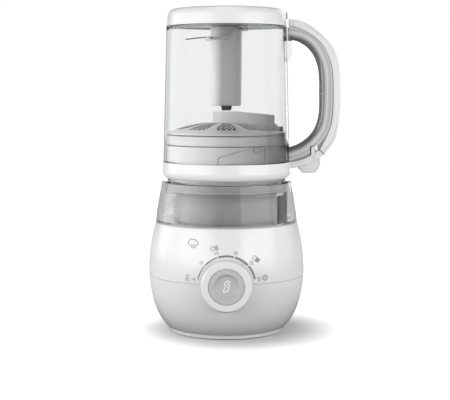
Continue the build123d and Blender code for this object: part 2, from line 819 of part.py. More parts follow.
# ---- release lever ------------------------------------------------------------------------
with BuildPart() as lever_tab:
    with BuildSketch(Plane.XZ):
        with BuildLine():
            FilletPolyline(
                (69.8, 161.4),
                (70.2, 159.2),
                (78.0, 152.4),
                (88.8, 156.4),
                (92.0, 163.4),
                (91.6, 169.2),
                (88.0, 170.8),
                (82.0, 167.6),
                (76.9, 164.2),
                radius=(0.6, 0.8, 3.6, 3.6, 3.0, 0.8, 0.8, 0.8, 0.8),
                close=True,
            )
        make_face()
    extrude(amount=7.3, both=True)
    chamfer(lever_tab.faces().filter_by(Axis.Y).edges(), 0.5)

with BuildPart() as release_lever:
    add(lever_tab.part)
    with BuildSketch(Plane.XZ):
        with BuildLine():
            FilletPolyline(
                (82.3, 160.0),
                (82.3, 180.5),
                (86.4, 180.5),
                (86.4, 160.0),
                radius=1.9,
            )
            Line((86.4, 160.0), (82.3, 160.0))
        make_face()
    extrude(amount=3.4, both=True)
    with BuildSketch(Plane.XZ):
        with Locations((PIVOT_X, PIVOT_Z)):
            Circle(2.5)
    extrude(amount=3.4, both=True)
    with BuildSketch(Plane.XZ):
        with Locations((PIVOT_X, PIVOT_Z)):
            Circle(1.2 + RUNNING)
    extrude(amount=12, both=True, mode=Mode.SUBTRACT)
release_lever.part.label = "release_lever"
export_step(release_lever.part, "parts/release_lever.step")

with BuildPart() as lever_pin:
    with BuildSketch(Plane.XZ):
        with Locations((PIVOT_X, PIVOT_Z)):
            Circle(1.2)
    extrude(amount=10.2, both=True)
lever_pin.part.label = "lever_pin"
export_step(lever_pin.part, "parts/lever_pin.step")

with BuildPart() as lever_spring:
    with BuildSketch(Plane.XZ):
        with BuildLine():
            Polyline((79.6, 168.0), (71.0, 162.9), (71.2, 162.5), (79.9, 167.6), close=True)
        make_face()
    extrude(amount=2.5, both=True)
lever_spring.part.label = "lever_spring"
export_step(lever_spring.part, "parts/lever_spring.step")

# ---- strainer -----------------------------------------------------------------------------
DOME_Z = 204.2
RIM_TOP = 195.0
SHELL = 1.8


def duct_plan(inset):
    """Plan of the boss and the steam duct that runs from it to the rim on the handle side."""
    with BuildSketch(Plane.XY.offset(180)) as plan:
        Circle(BOSS_R - inset)
        with Locations((DUCT_END, 0)):
            Circle(9.3 - inset)
        make_hull()
    return plan.sketch


with BuildPart() as duct:
    extrude(duct_plan(0), amount=50)
    with BuildSketch(Plane.XZ):
        with BuildLine():
            crown = Line((BOSS_R - 1.0, BOSS_TOP), (DUCT_END, 210.9))
            Polyline(
                crown @ 1,
                (DUCT_END, SHELF_Z + 3.0),
            )
            RadiusArc((DUCT_END, SHELF_Z + 3.0), (DUCT_END + 3.0, SHELF_Z), 3.0)
            Polyline(
                (DUCT_END + 3.0, SHELF_Z),
                (60, SHELF_Z),
                (60, RIM_TOP - 0.5),
                (-20, RIM_TOP - 0.5),
                (-20, BOSS_TOP),
                crown @ 0,
            )
        make_face()
    extrude(amount=20, both=True, mode=Mode.INTERSECT)
with BuildPart() as duct_space:
    extrude(duct_plan(SHELL), amount=50)
    with BuildSketch(Plane.XZ):
        with BuildLine():
            Polyline(
                (-20, 185),
                (-20, BOSS_TOP - SHELL),
                (BOSS_R - 1.0, BOSS_TOP - SHELL),
                (DUCT_END - SHELL, 210.9 - SHELL),
                (DUCT_END - SHELL, 185),
                close=True,
            )
        make_face()
    extrude(amount=20, both=True, mode=Mode.INTERSECT)

with BuildPart() as strainer:
    with BuildSketch(Plane.XZ):
        with BuildLine():
            dome = ThreePointArc((56.6, RIM_TOP), (30.0, 201.8), (0, DOME_Z))
            Line((0, DOME_Z), (0, DOME_Z - SHELL))
            ThreePointArc((0, DOME_Z - SHELL), (30.0, 201.8 - SHELL), (53.8, 193.6))
            Polyline(
                (53.8, 193.6),
                (53.8, 178.4),
                (55.4, 178.4),
                (55.4, 182.8),
                (57.7, 182.8),
                (57.7, 191.4),
                (56.9, 192.2),
                (58.1, 192.9),
                (58.1, 194.4),
                (56.6, RIM_TOP),
            )
        make_face()
    revolve(axis=Axis.Z)
    add(duct.part)
    add(duct_space.part, mode=Mode.SUBTRACT)
    with BuildSketch(Plane.XY.offset(215)):
        for sector in range(10):
            for row_r, offsets, hole_r in (
                (22.0, (-6, 6), 1.25),
                (27.0, (-8, 0, 8), 1.35),
                (32.0, (-9, -3, 3, 9), 1.35),
                (37.0, (-10, -3.4, 3.4, 10), 1.45),
                (42.0, (-10.5, -5, 0, 5, 10.5), 1.35),
                (47.0, (-9, -3, 3, 9), 1.3),
            ):
                for offset_deg in offsets:
                    turn = radians(36 * sector + 18 + offset_deg)
                    x = row_r * cos(turn)
                    y = row_r * sin(turn)
                    if x < 0 or abs(y) > 15.5:
                        with Locations((x, y)):
                            Circle(hole_r)
    extrude(amount=-26, mode=Mode.SUBTRACT)
strainer.part.label = "strainer"
export_step(strainer.part, "parts/strainer.step")

# ---- jug ----------------------------------------------------------------------------------
jug_slope = (JUG_HIGH_R - JUG_LOW_R) / (JUG_HIGH_Z - JUG_LOW_Z)


def jug_radius(z):
    """Outside radius of the jug's wall at a height."""
    return JUG_LOW_R + (z - JUG_LOW_Z) * jug_slope


BEARING_HOLE_R = 8.0
with BuildPart() as handle_lug:
    with BuildSketch(Plane.XZ):
        with BuildLine():
            Polyline((57.0, 262.0), (59.6, 262.0), (63.2, 270.0), (63.2, 295.4), (57.0, 295.4), close=True)
        make_face()
    extrude(amount=7.0, both=True)
with BuildPart() as jug_inside:
    revolve(
        section((0, 150), (jug_radius(150) - JUG_WALL, 150), (jug_radius(300) - JUG_WALL, 300), (0, 300)),
        axis=Axis.Z,
    )
with BuildPart() as jug:
    add(handle_lug.part)
    add(jug_inside.part, mode=Mode.SUBTRACT)
    with BuildSketch(Plane.XZ):
        with BuildLine():
            Polyline(
                (58.9, 157.0),
                (60.4, 157.0),
                (60.4, JUG_LOW_Z),
                (JUG_LOW_R, JUG_LOW_Z),
                (JUG_HIGH_R, JUG_HIGH_Z),
                (55.2, JUG_HIGH_Z),
                (55.2, 300.2),
                (BEARING_HOLE_R, 300.2),
                (BEARING_HOLE_R, JUG_CEILING),
                (50.6, JUG_CEILING),
            )
            ThreePointArc((50.6, JUG_CEILING), (54.2, 296.2), (jug_radius(292.4) - JUG_WALL, 292.4))
            Polyline(
                (jug_radius(292.4) - JUG_WALL, 292.4),
                (jug_radius(166.6) - JUG_WALL, 166.6),
                (58.9, JUG_LOW_Z),
                (58.9, 157.0),
            )
        make_face()
    revolve(axis=Axis.Z)
jug.part.label = "jug"
export_step(jug.part, "parts/jug.step")

with BuildPart() as jug_base_cap:
    with BuildSketch(Plane.XZ):
        with BuildLine():
            side = Line((57.9, CAP_LOW), (57.0, 306.4))
            crown = TangentArc((57.0, 306.4), (50.8, CAP_TOP), tangent=side % 1)
            Polyline(
                crown @ 1,
                (20.0, CAP_TOP),
                (20.0, 302.8),
                (9.8, 302.8),
                (9.8, 301.3),
                (22.0, 301.3),
                (22.0, 310.8),
                (50.2, 310.8),
                (54.8, 306.0),
                (55.7, CAP_LOW),
                side @ 0,
            )
        make_face()
    revolve(axis=Axis.Z)
    with BuildSketch(Plane.XY.offset(CAP_TOP - 0.2)):
        with PolarLocations(32.0, 3):
            SlotOverall(16.0, 8.0, rotation=90)
    extrude(amount=1.0)
jug_base_cap.part.label = "jug_base_cap"
export_step(jug_base_cap.part, "parts/jug_base_cap.step")

with BuildPart() as spindle_bearing:
    revolve(
        section(
            (SPINDLE_R + RUNNING, 297.6),
            (BEARING_HOLE_R - 0.05, 297.6),
            (BEARING_HOLE_R - 0.05, 300.3),
            (9.4, 300.3),
            (9.4, 301.2),
            (SPINDLE_R + RUNNING, 301.2),
        ),
        axis=Axis.Z,
    )
spindle_bearing.part.label = "spindle_bearing"
export_step(spindle_bearing.part, "parts/spindle_bearing.step")

# ---- handle -------------------------------------------------------------------------------
split_points = [(60.0, 296.3), (73.1, 292.7), (86.1, 284.4), (94.8, 274.1), (101.5, 256.0), (102.9, 232.0)]
split_points += [(102.2, 209.0), (98.8, 195.5), (90.2, 177.6), (85.0, 168.5)]
inner_points = [(60.0, 282.9), (73.1, 279.2), (82.2, 270.6), (88.4, 254.6), (89.5, 232.0)]
inner_points += [(88.6, 209.0), (84.1, 196.6), (73.0, 185.4), (60.0, 180.0)]
outer_points = [(60.0, 303.2), (73.0, 300.6), (86.0, 293.4), (99.1, 280.9), (107.5, 264.6), (110.4, 232.0)]
outer_points += [(109.2, 204.0), (104.8, 186.6), (95.1, 173.2), (90.0, 167.0)]

with BuildPart() as jug_outside:
    wall_line = [(jug_radius(z) + 0.1, z) for z in (150, 296.4)]
    revolve(section((0, 150), *wall_line, (58.4, 320), (0, 320)), axis=Axis.Z)
with BuildPart() as lug_space:
    add(handle_lug.part)
    offset(amount=0.1)

SLOT_IN = 81.8
SLOT_OUT = 88.6
with BuildPart() as handle_grip:
    with BuildSketch(Plane.XZ):
        with BuildLine():
            split_line = Spline(*split_points)
            inner_line = Spline(*inner_points)
            Line(split_line @ 0, inner_line @ 0)
            Polyline(split_line @ 1, (85.0, 160.0), (60.0, 160.0), inner_line @ 1)
        make_face()
    extrude(amount=HANDLE_HALF, both=True)
    add(grip_zone.part, mode=Mode.SUBTRACT)
    add(jug_outside.part, mode=Mode.SUBTRACT)
    add(lug_space.part, mode=Mode.SUBTRACT)
    inner_edges = handle_grip.edges().filter_by(GeomType.BSPLINE).filter_by(
        lambda e: e.center().X < 90 and e.length > 80
    )
    fillet(inner_edges, 5.0)
    extrude(ring_sketch(150, SLOT_OUT, SLOT_IN), amount=31.2, mode=Mode.SUBTRACT)
handle_grip.part.label = "handle_grip"
export_step(handle_grip.part, "parts/handle_grip.step")

with BuildPart() as handle_spine:
    with BuildSketch(Plane.XZ):
        with BuildLine():
            split_line = Spline(*[(x + 0.1, z + 0.1) for x, z in split_points])
            outer_line = Spline(*outer_points)
            Line(split_line @ 0, outer_line @ 0)
            Line(split_line @ 1, outer_line @ 1)
        make_face()
    extrude(amount=HANDLE_HALF, both=True)
    fillet(handle_spine.edges().filter_by(GeomType.BSPLINE).sort_by(Axis.X)[-2:], 4.0)
    add(grip_zone.part, mode=Mode.SUBTRACT)
    add(jug_outside.part, mode=Mode.SUBTRACT)
handle_spine.part.label = "handle_spine"
export_step(handle_spine.part, "parts/handle_spine.step")

# ---- blade unit ---------------------------------------------------------------------------
BAND_R = 16.4
LEFT_LOW, LEFT_HIGH = 282.6, 286.8
RIGHT_LOW, RIGHT_HIGH = 292.3, 296.6


def blade_plan(length):
    """A curved blade seen from above: it starts at x = -5, ends in a point at x = length."""
    with BuildLine() as edge:
        back = Spline((-5.0, 6.0), (length * 0.45, 6.4), (length, -1.0))
        Spline(back @ 1, (length * 0.5, -3.0), (-5.0, -6.0))
        Line((-5.0, -6.0), (-5.0, 6.0))
    return edge.line


def blade(origin, x_dir, z_dir, length):
    """A flat ground blade in the plane given, its cutting edge bevelled."""
    with BuildPart() as piece:
        with BuildSketch(Plane(origin=origin, x_dir=x_dir, z_dir=z_dir)):
            add(blade_plan(length))
            make_face()
        extrude(amount=0.5, both=True)
    return piece


lower_blade = blade((-19.6, 0, 286.0), (-1, 0, -0.10), (0.10, 0, -1), 20.2)
lower_blade.part.label = "lower_blade"
export_step(lower_blade.part, "parts/lower_blade.step")

upper_blade = blade((19.3, 0, 295.2), (1, 0, 0.02), (-0.02, 0, 1), 17.4)
upper_blade.part.label = "upper_blade"
export_step(upper_blade.part, "parts/upper_blade.step")

with BuildPart() as blade_band:
    extrude(ring_sketch(LEFT_LOW, BAND_R, 14.0), amount=RIGHT_HIGH - LEFT_LOW)
    with BuildSketch(Plane.XZ):
        with BuildLine():
            Polyline(
                (-20, LEFT_LOW),
                (3.5, LEFT_LOW),
                (13.6, RIGHT_LOW),
                (20, RIGHT_LOW),
                (20, RIGHT_HIGH),
                (10.5, RIGHT_HIGH),
                (0.5, LEFT_HIGH),
                (-20, LEFT_HIGH),
                close=True,
            )
        make_face()
    extrude(amount=20, both=True, mode=Mode.INTERSECT)

with BuildPart() as blade_hub:
    revolve(
        section(
            (5.6, HUB_LOW),
            (HUB_R_LOW, HUB_LOW),
            (HUB_R_HIGH, HUB_TOP),
            (13.0, HUB_TOP),
            (12.2, 223.0),
            (6.2, 223.0),
            (6.2, 296.0),
            (SPINDLE_R + 0.02, 296.0),
            (SPINDLE_R + 0.02, 222.6),
            (5.6, 222.6),
        ),
        axis=Axis.Z,
    )
    fillet(blade_hub.edges().filter_by(GeomType.CIRCLE).group_by(Axis.Z)[0].sort_by(SortBy.RADIUS)[-1], 1.2)
    add(blade_band.part)
    with BuildSketch(Plane.XY.offset(LEFT_LOW)):
        with Locations((-17.4, 0)):
            RectangleRounded(6.6, 15.0, 2.6)
    extrude(amount=LEFT_HIGH - LEFT_LOW)
    with BuildSketch(Plane.XY.offset(RIGHT_LOW)):
        with Locations((17.2, 0)):
            RectangleRounded(6.6, 15.0, 2.6)
    extrude(amount=RIGHT_HIGH - RIGHT_LOW)
    add(lower_blade.part, mode=Mode.SUBTRACT)
    add(upper_blade.part, mode=Mode.SUBTRACT)
    extrude(ring_sketch(223.2, 12.2, 6.2), amount=73.0, mode=Mode.SUBTRACT)
blade_hub.part.label = "blade_hub"
export_step(blade_hub.part, "parts/blade_hub.step")

TIP_TOP = 222.4
with BuildPart() as blade_tip:
    tip_edge = [(4.3, 215.5), (4.6, 215.9), (5.4, 219.8), (5.4, TIP_TOP)]
    revolve(section((0, 215.5), *tip_edge, (0, TIP_TOP)), axis=Axis.Z)
blade_tip.part.label = "blade_tip"
export_step(blade_tip.part, "parts/blade_tip.step")

SPINDLE_LOW = TIP_TOP + 0.2
SPINDLE_TOP = 309.0
with BuildPart() as drive_spindle:
    with BuildSketch(Plane.XY.offset(SPINDLE_LOW)):
        Circle(SPINDLE_R)
    extrude(amount=SPINDLE_TOP - SPINDLE_LOW)
drive_spindle.part.label = "drive_spindle"
export_step(drive_spindle.part, "parts/drive_spindle.step")

COUPLING_R = 9.4
COUPLING_LOW = 303.4
COUPLING_WEB = 2.2
with BuildPart() as driven_coupling:
    with BuildSketch(Plane.XY.offset(COUPLING_LOW)):
        Circle(COUPLING_R)
        Circle(SPINDLE_R + 0.02, mode=Mode.SUBTRACT)
    extrude(amount=COUPLING_WEB)
    with BuildSketch(Plane.XY.offset(COUPLING_LOW + COUPLING_WEB)):
        Circle(COUPLING_R)
        Circle(6.8, mode=Mode.SUBTRACT)
        with PolarLocations(7.2, 6):
            Circle(2.0, mode=Mode.SUBTRACT)
    extrude(amount=5.0)
    with BuildSketch(Plane.XY.offset(COUPLING_LOW + COUPLING_WEB)):
        Circle(4.4)
        Circle(SPINDLE_R + 0.02, mode=Mode.SUBTRACT)
    extrude(amount=3.0)
driven_coupling.part.label = "driven_coupling"
export_step(driven_coupling.part, "parts/driven_coupling.step")
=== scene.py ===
import json
import math

import bmesh
import bpy
from mathutils import Matrix, Vector
from mathutils.bvhtree import BVHTree


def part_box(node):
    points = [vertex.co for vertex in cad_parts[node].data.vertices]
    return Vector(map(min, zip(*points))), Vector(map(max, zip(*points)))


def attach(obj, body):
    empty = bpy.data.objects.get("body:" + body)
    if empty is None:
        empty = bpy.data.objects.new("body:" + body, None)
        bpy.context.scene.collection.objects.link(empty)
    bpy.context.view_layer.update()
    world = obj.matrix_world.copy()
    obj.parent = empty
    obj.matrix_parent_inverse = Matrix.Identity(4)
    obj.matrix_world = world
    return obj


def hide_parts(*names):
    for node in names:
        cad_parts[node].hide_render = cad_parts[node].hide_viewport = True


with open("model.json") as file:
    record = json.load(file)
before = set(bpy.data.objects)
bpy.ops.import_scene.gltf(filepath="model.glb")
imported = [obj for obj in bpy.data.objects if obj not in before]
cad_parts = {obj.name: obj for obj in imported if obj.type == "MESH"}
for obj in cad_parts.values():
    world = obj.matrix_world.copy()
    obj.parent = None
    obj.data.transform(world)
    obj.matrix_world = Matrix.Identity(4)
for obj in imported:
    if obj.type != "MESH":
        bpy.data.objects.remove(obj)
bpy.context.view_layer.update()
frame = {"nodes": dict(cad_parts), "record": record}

# A baby food maker on a white table: -Y is the control side, +X the handle side.
# Profiles, places and widths are in millimetres unless a comment says otherwise, and are scaled by MM.
MM = 0.001
ROUND = 192  # segments of a full turn

record = frame["record"]
slot_of = {part["node"]: part["material_slot"] for part in record["subparts"]}
body_of = {node: body for body, nodes in record["behaviour"]["bodies"].items() for node in nodes}


def low(node):
    """A node's lowest height, in millimetres."""
    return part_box(node)[0].z / MM


def top(node):
    """A node's highest height, in millimetres."""
    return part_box(node)[1].z / MM


KNOB_Z = (low("timer_dial") + top("timer_dial")) / 2
DIAL_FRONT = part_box("timer_dial")[0].y / MM
BUTTON_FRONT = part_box("blend_button")[0].y / MM


# ---- shader nodes ---------------------------------------------------------------------------
def feed(tree, socket, value):
    """Links an output to a socket, or sets the socket to a plain value."""
    if isinstance(value, bpy.types.NodeSocket):
        tree.links.new(value, socket)
    else:
        socket.default_value = value


def maths(tree, operation, first, second):
    """The result of a math node on two numbers or outputs."""
    node = tree.nodes.new("ShaderNodeMath")
    node.operation = operation
    feed(tree, node.inputs[0], first)
    feed(tree, node.inputs[1], second)
    return node.outputs[0]


def ranged(tree, value, start=(0, 1), end=(0, 1), smooth=False):
    """value taken from the range start to the range end, eased at both ends if smooth."""
    node = tree.nodes.new("ShaderNodeMapRange")
    if smooth:
        node.interpolation_type = "SMOOTHSTEP"
    feed(tree, node.inputs["Value"], value)
    for socket, level in zip(("From Min", "From Max", "To Min", "To Max"), (*start, *end)):
        feed(tree, node.inputs[socket], level)
    return node.outputs["Result"]


def mixed(tree, share, first, second, mode="MIX"):
    """Two colours mixed by share."""
    node = tree.nodes.new("ShaderNodeMixRGB")
    node.blend_type = mode
    for socket, value in (("Fac", share), ("Color1", first), ("Color2", second)):
        feed(tree, node.inputs[socket], value)
    return node.outputs["Color"]


def noise(tree, place, scale, detail):
    """A noise texture's level at a place."""
    node = tree.nodes.new("ShaderNodeTexNoise")
    node.inputs["Scale"].default_value = scale
    node.inputs["Detail"].default_value = detail
    tree.links.new(place, node.inputs["Vector"])
    return node.outputs["Fac"]


def grey(level, blue=0.985):
    """A grey that is a touch short of blue."""
    return (level, level, level * blue, 1)


def by_ray(tree, straight, through, thrown):
    """One level for what the camera sees straight, one for what it sees through plastic, one for all other light."""
    path = tree.nodes.new("ShaderNodeLightPath")
    level = thrown
    for ray, seen in (("Is Transmission Ray", through), ("Is Camera Ray", straight)):
        level = ranged(tree, path.outputs[ray], end=(level, seen))
    return level


# ---- camera, lights and stage ---------------------------------------------------------------
# All of these are placed in metres and degrees.
CAMERA_SIDE = -0.0014
CAMERA_DISTANCE = 1.1081
CAMERA_HEIGHT = 0.2354
CAMERA_DOWN = 5.557
CAMERA_LENS = 90.6


def make_camera():
    """The camera, in front of the controls and looking slightly down."""
    data = bpy.data.cameras.new("camera")
    data.lens = CAMERA_LENS
    data.sensor_width = 36.0
    data.dof.use_dof = False
    camera = bpy.data.objects.new("camera", data)
    camera.location = (CAMERA_SIDE, -CAMERA_DISTANCE, CAMERA_HEIGHT)
    camera.rotation_euler = (math.radians(90 - CAMERA_DOWN), 0, 0)
    bpy.context.scene.collection.objects.link(camera)
    bpy.context.scene.camera = camera


def softbox(name, azimuth, distance, low_z, high_z, span, radiance, fade=(0, 0, 0, 0)):
    """A softbox standing upright round the object, span degrees wide (azimuth 0 is the user's side, 90 the handle's).

    fade is how much of its width or height is feathered, at the left, right, low and high edges.
    It isn't seen through clear plastic, where the backdrop shows instead.
    """
    data = bpy.data.lights.new(name, "AREA")
    data.shape = "RECTANGLE"
    data.size = 2 * distance * math.tan(math.radians(span / 2))
    data.size_y = high_z - low_z
    data.energy = radiance * math.pi * data.size * data.size_y
    data.use_nodes = True
    tree = data.node_tree
    # A lamp isn't told what kind of ray reaches it, but the depths show a look through clear plastic.
    path = tree.nodes.new("ShaderNodeLightPath")
    looking = maths(tree, "LESS_THAN", path.outputs["Diffuse Depth"], 0.5)
    through = maths(tree, "GREATER_THAN", path.outputs["Transmission Depth"], 0.5)
    strength = maths(tree, "SUBTRACT", 1, maths(tree, "MULTIPLY", looking, through))
    spot = tree.nodes.new("ShaderNodeNewGeometry")
    axes = tree.nodes.new("ShaderNodeSeparateXYZ")
    tree.links.new(spot.outputs["Parametric"], axes.inputs[0])
    edges = zip("XXYY", ((0, 1), (1, -1), (0, 1), (1, -1)), fade)
    for axis, (start, ahead), amount in edges:
        if amount > 0:
            feathered = ranged(tree, axes.outputs[axis], (start, start + ahead * amount), smooth=True)
            strength = maths(tree, "MULTIPLY", strength, feathered)
    tree.links.new(strength, tree.nodes["Emission"].inputs["Strength"])
    light = bpy.data.objects.new(name, data)
    turn = math.radians(azimuth)
    inward = Vector((-math.sin(turn), math.cos(turn), 0))
    light.location = (distance * math.sin(turn), -distance * math.cos(turn), (low_z + high_z) / 2)
    light.rotation_euler = inward.to_track_quat("-Z", "Y").to_euler()
    bpy.context.scene.collection.objects.link(light)
    return light


# Levels of the backdrop and of the table's own glow: seen straight, seen through plastic, and thrown on other things.
# The glow is low near the object and grows away from it, a painted shadow round its foot.
BACKDROP = (1.0, 0.88, 0.06)
PAPER_COLOR = (0.5, 0.35, 0.03)
GLOW_ROUND_PAINTED_SHADOW = (((0.05, 0.128), (0.19, 0.97)), ((0.05, 0.128), (0.12, 0.55)), ((0.085, 0.2), (0.0, 0.5)))
PAINTED_SHADOW_MIDDLE = (0.012, -0.006, 0)  # the glow grows with the distance from here, in metres
TABLE_REACH = 5.0


def make_stage():
    """An endless white table: paper lit by the softboxes and glowing white, its glow low near the object as a painted
    shadow round its foot, with the shadows the softboxes cast on it too.
    """
    material = bpy.data.materials.new("stage_paper")
    material.use_nodes = True
    tree = material.node_tree
    tree.nodes.clear()
    place = tree.nodes.new("ShaderNodeTexCoord")
    away = tree.nodes.new("ShaderNodeVectorMath")
    away.operation = "DISTANCE"
    away.inputs[1].default_value = PAINTED_SHADOW_MIDDLE
    tree.links.new(place.outputs["Object"], away.inputs[0])
    levels = [ranged(tree, away.outputs["Value"], run, glow, smooth=True) for run, glow in GLOW_ROUND_PAINTED_SHADOW]
    paper = tree.nodes.new("ShaderNodeBsdfDiffuse")
    tree.links.new(by_ray(tree, *PAPER_COLOR), paper.inputs["Color"])
    shadowed_glow = tree.nodes.new("ShaderNodeEmission")
    tree.links.new(by_ray(tree, *levels), shadowed_glow.inputs["Strength"])
    both = tree.nodes.new("ShaderNodeAddShader")
    tree.links.new(paper.outputs[0], both.inputs[0])
    tree.links.new(shadowed_glow.outputs[0], both.inputs[1])
    out = tree.nodes.new("ShaderNodeOutputMaterial")
    tree.links.new(both.outputs[0], out.inputs["Surface"])
    mesh = bpy.data.meshes.new("floor")
    far = TABLE_REACH
    mesh.from_pydata([(-far, -far, 0), (far, -far, 0), (far, far, 0), (-far, far, 0)], [], [(0, 1, 2, 3)])
    floor = bpy.data.objects.new("floor", mesh)
    floor.data.materials.append(material)
    bpy.context.scene.collection.objects.link(floor)


def make_light():
    """A white backdrop, five softboxes standing round the table, two above it and a narrow one for the rim."""
    world = bpy.data.worlds.new("studio")
    bpy.context.scene.world = world
    world.use_nodes = True
    tree = world.node_tree
    background = tree.nodes["Background"]
    tree.links.new(by_ray(tree, *BACKDROP), background.inputs["Strength"])
    background.inputs["Color"].default_value = (1, 1, 1, 1)
    standing = {"distance": 1.3, "low_z": 0.0, "high_z": 0.85}
    upright = (0.05, 0.45)
    softbox("softbox_left", -44, span=66, radiance=4.7, fade=(0, 0.42, *upright), **standing)
    softbox("softbox_far_left", -104, span=50, radiance=2.9, fade=(0.3, 0, *upright), **standing)
    softbox("softbox_right", 50, span=54, radiance=4.4, fade=(0, 0, *upright), **standing)
    softbox("softbox_far_right", 102, span=46, radiance=1.5, fade=(0, 0.5, *upright), **standing)
    overhead = softbox("softbox_overhead", 0, 0.9, 1.0, 1.5, 60, 0.9)
    overhead.rotation_euler = (Vector((0, 0, 0.15)) - overhead.location).to_track_quat("-Z", "Y").to_euler()
    ceiling = softbox("softbox_ceiling", 0, 0.45, 0.95, 1.45, 60, 3.4)
    ceiling.location = (0, 0, 1.2)
    ceiling.rotation_euler = (0, 0, 0)
    softbox("softbox_rim", 146, 0.6, 0.14, 0.62, 13, 2.2)
    softbox("softbox_back", 180, span=44, radiance=1.8, fade=(0.3, 0.3, *upright), **standing)
    bpy.context.scene.view_settings.view_transform = "Standard"
    bpy.context.scene.view_settings.look = "None"


# ---- materials ------------------------------------------------------------------------------
def moulded(name, color, roughness, variation=0.02, grain=0.02, **sockets):
    """Injection-moulded plastic: faint flow mottling, uneven polish and a fine grain."""
    material = bpy.data.materials.new(name)
    material.use_nodes = True
    tree = material.node_tree
    shader = tree.nodes["Principled BSDF"]
    place = tree.nodes.new("ShaderNodeTexCoord").outputs["Object"]
    darker = (*[c * (1 - variation) for c in color], 1)
    lighter = (*[min(1, c * (1 + variation)) for c in color], 1)
    flow = noise(tree, place, 22.0, 3.0)
    tree.links.new(mixed(tree, flow, darker, lighter), shader.inputs["Base Color"])
    polish = noise(tree, place, 60.0, 4.0)
    tree.links.new(ranged(tree, polish, end=(roughness * 0.85, roughness * 1.2)), shader.inputs["Roughness"])
    bump = tree.nodes.new("ShaderNodeBump")
    bump.inputs["Strength"].default_value = grain
    bump.inputs["Distance"].default_value = 0.0002
    tree.links.new(noise(tree, place, 2600.0, 2.0), bump.inputs["Height"])
    tree.links.new(bump.outputs["Normal"], shader.inputs["Normal"])
    for socket, value in sockets.items():
        shader.inputs[socket.replace("_", " ")].default_value = value
    return material


def first_node(tree, kind):
    """The first node of a kind that moulded() made."""
    return next(node for node in tree.nodes if node.type == kind)


def painted_shade_across(name, light, dark, start, end, roughness):
    """A moulding in smoke-grey plastic with light and shade painted into its grey: lighter up to x = start, painted
    shade deepening to x = end, in metres.
    """
    material = moulded(name, (light, light, light), roughness, Coat_Weight=0.4)
    tree = material.node_tree
    axes = tree.nodes.new("ShaderNodeSeparateXYZ")
    tree.links.new(first_node(tree, "TEX_COORD").outputs["Object"], axes.inputs[0])
    share = ranged(tree, axes.outputs["X"], (start, end))
    shader = tree.nodes["Principled BSDF"]
    tree.links.new(mixed(tree, share, grey(light), grey(dark)), shader.inputs["Base Color"])
    return material


def clear_moulding(name, color, edge, roughness, ior):
    """Clear plastic, greyer where it is seen edge-on: partly the longer path through its wall, partly painted shade
    standing for the dark edges seen at its rims.
    """
    material = moulded(name, color, roughness, 0.004, 0.0, Transmission_Weight=1.0, IOR=ior)
    tree = material.node_tree
    tint = first_node(tree, "MIX_RGB").outputs["Color"]
    slant = tree.nodes.new("ShaderNodeLayerWeight")
    slant.inputs["Blend"].default_value = 0.5
    share = ranged(tree, slant.outputs["Facing"], (0.72, 0.98))
    shader = tree.nodes["Principled BSDF"]
    tree.links.new(mixed(tree, share, tint, grey(edge, 0.99)), shader.inputs["Base Color"])
    return material


# The grip's grey at shares of its depth, from the finger side to the outer side: its smoke tint, with painted shade
# deepest at the finger side and painted light and dark streaks along it.
GRIP_TINT_AND_PAINTED_LIGHT = [(0.0, 0.04), (0.09, 0.2), (0.17, 0.1), (0.3, 0.2), (0.42, 0.5)]
GRIP_TINT_AND_PAINTED_LIGHT += [(0.57, 0.74), (0.78, 0.5), (0.92, 0.72), (0.99, 0.3)]


def depth_material(name, levels, roughness, transmission):
    """Tinted clear plastic whose grey follows a moulding's 'depth' attribute: levels are (depth, grey), which paint
    shade and streaks of light into the tint.
    """
    middle = levels[len(levels) // 2][1]
    sockets = {"Transmission_Weight": transmission, "IOR": 1.49, "Coat_Weight": 0.6}
    material = moulded(name, grey(middle)[:3], roughness, 0.02, 0.0, **sockets)
    tree = material.node_tree
    depth = tree.nodes.new("ShaderNodeAttribute")
    depth.attribute_name = "depth"
    ramp = tree.nodes.new("ShaderNodeValToRGB")
    stops = ramp.color_ramp.elements
    while len(stops) < len(levels):
        stops.new(0.5)
    for stop, (position, level) in zip(stops, levels):
        stop.position = position
        stop.color = grey(level)
    tree.links.new(depth.outputs["Fac"], ramp.inputs["Fac"])
    mottling = ranged(tree, first_node(tree, "TEX_NOISE").outputs["Fac"], end=(0.9, 1.08))
    shader = tree.nodes["Principled BSDF"]
    tinted = mixed(tree, 1.0, ramp.outputs["Color"], mottling, "MULTIPLY")
    tree.links.new(tinted, shader.inputs["Base Color"])
    return material


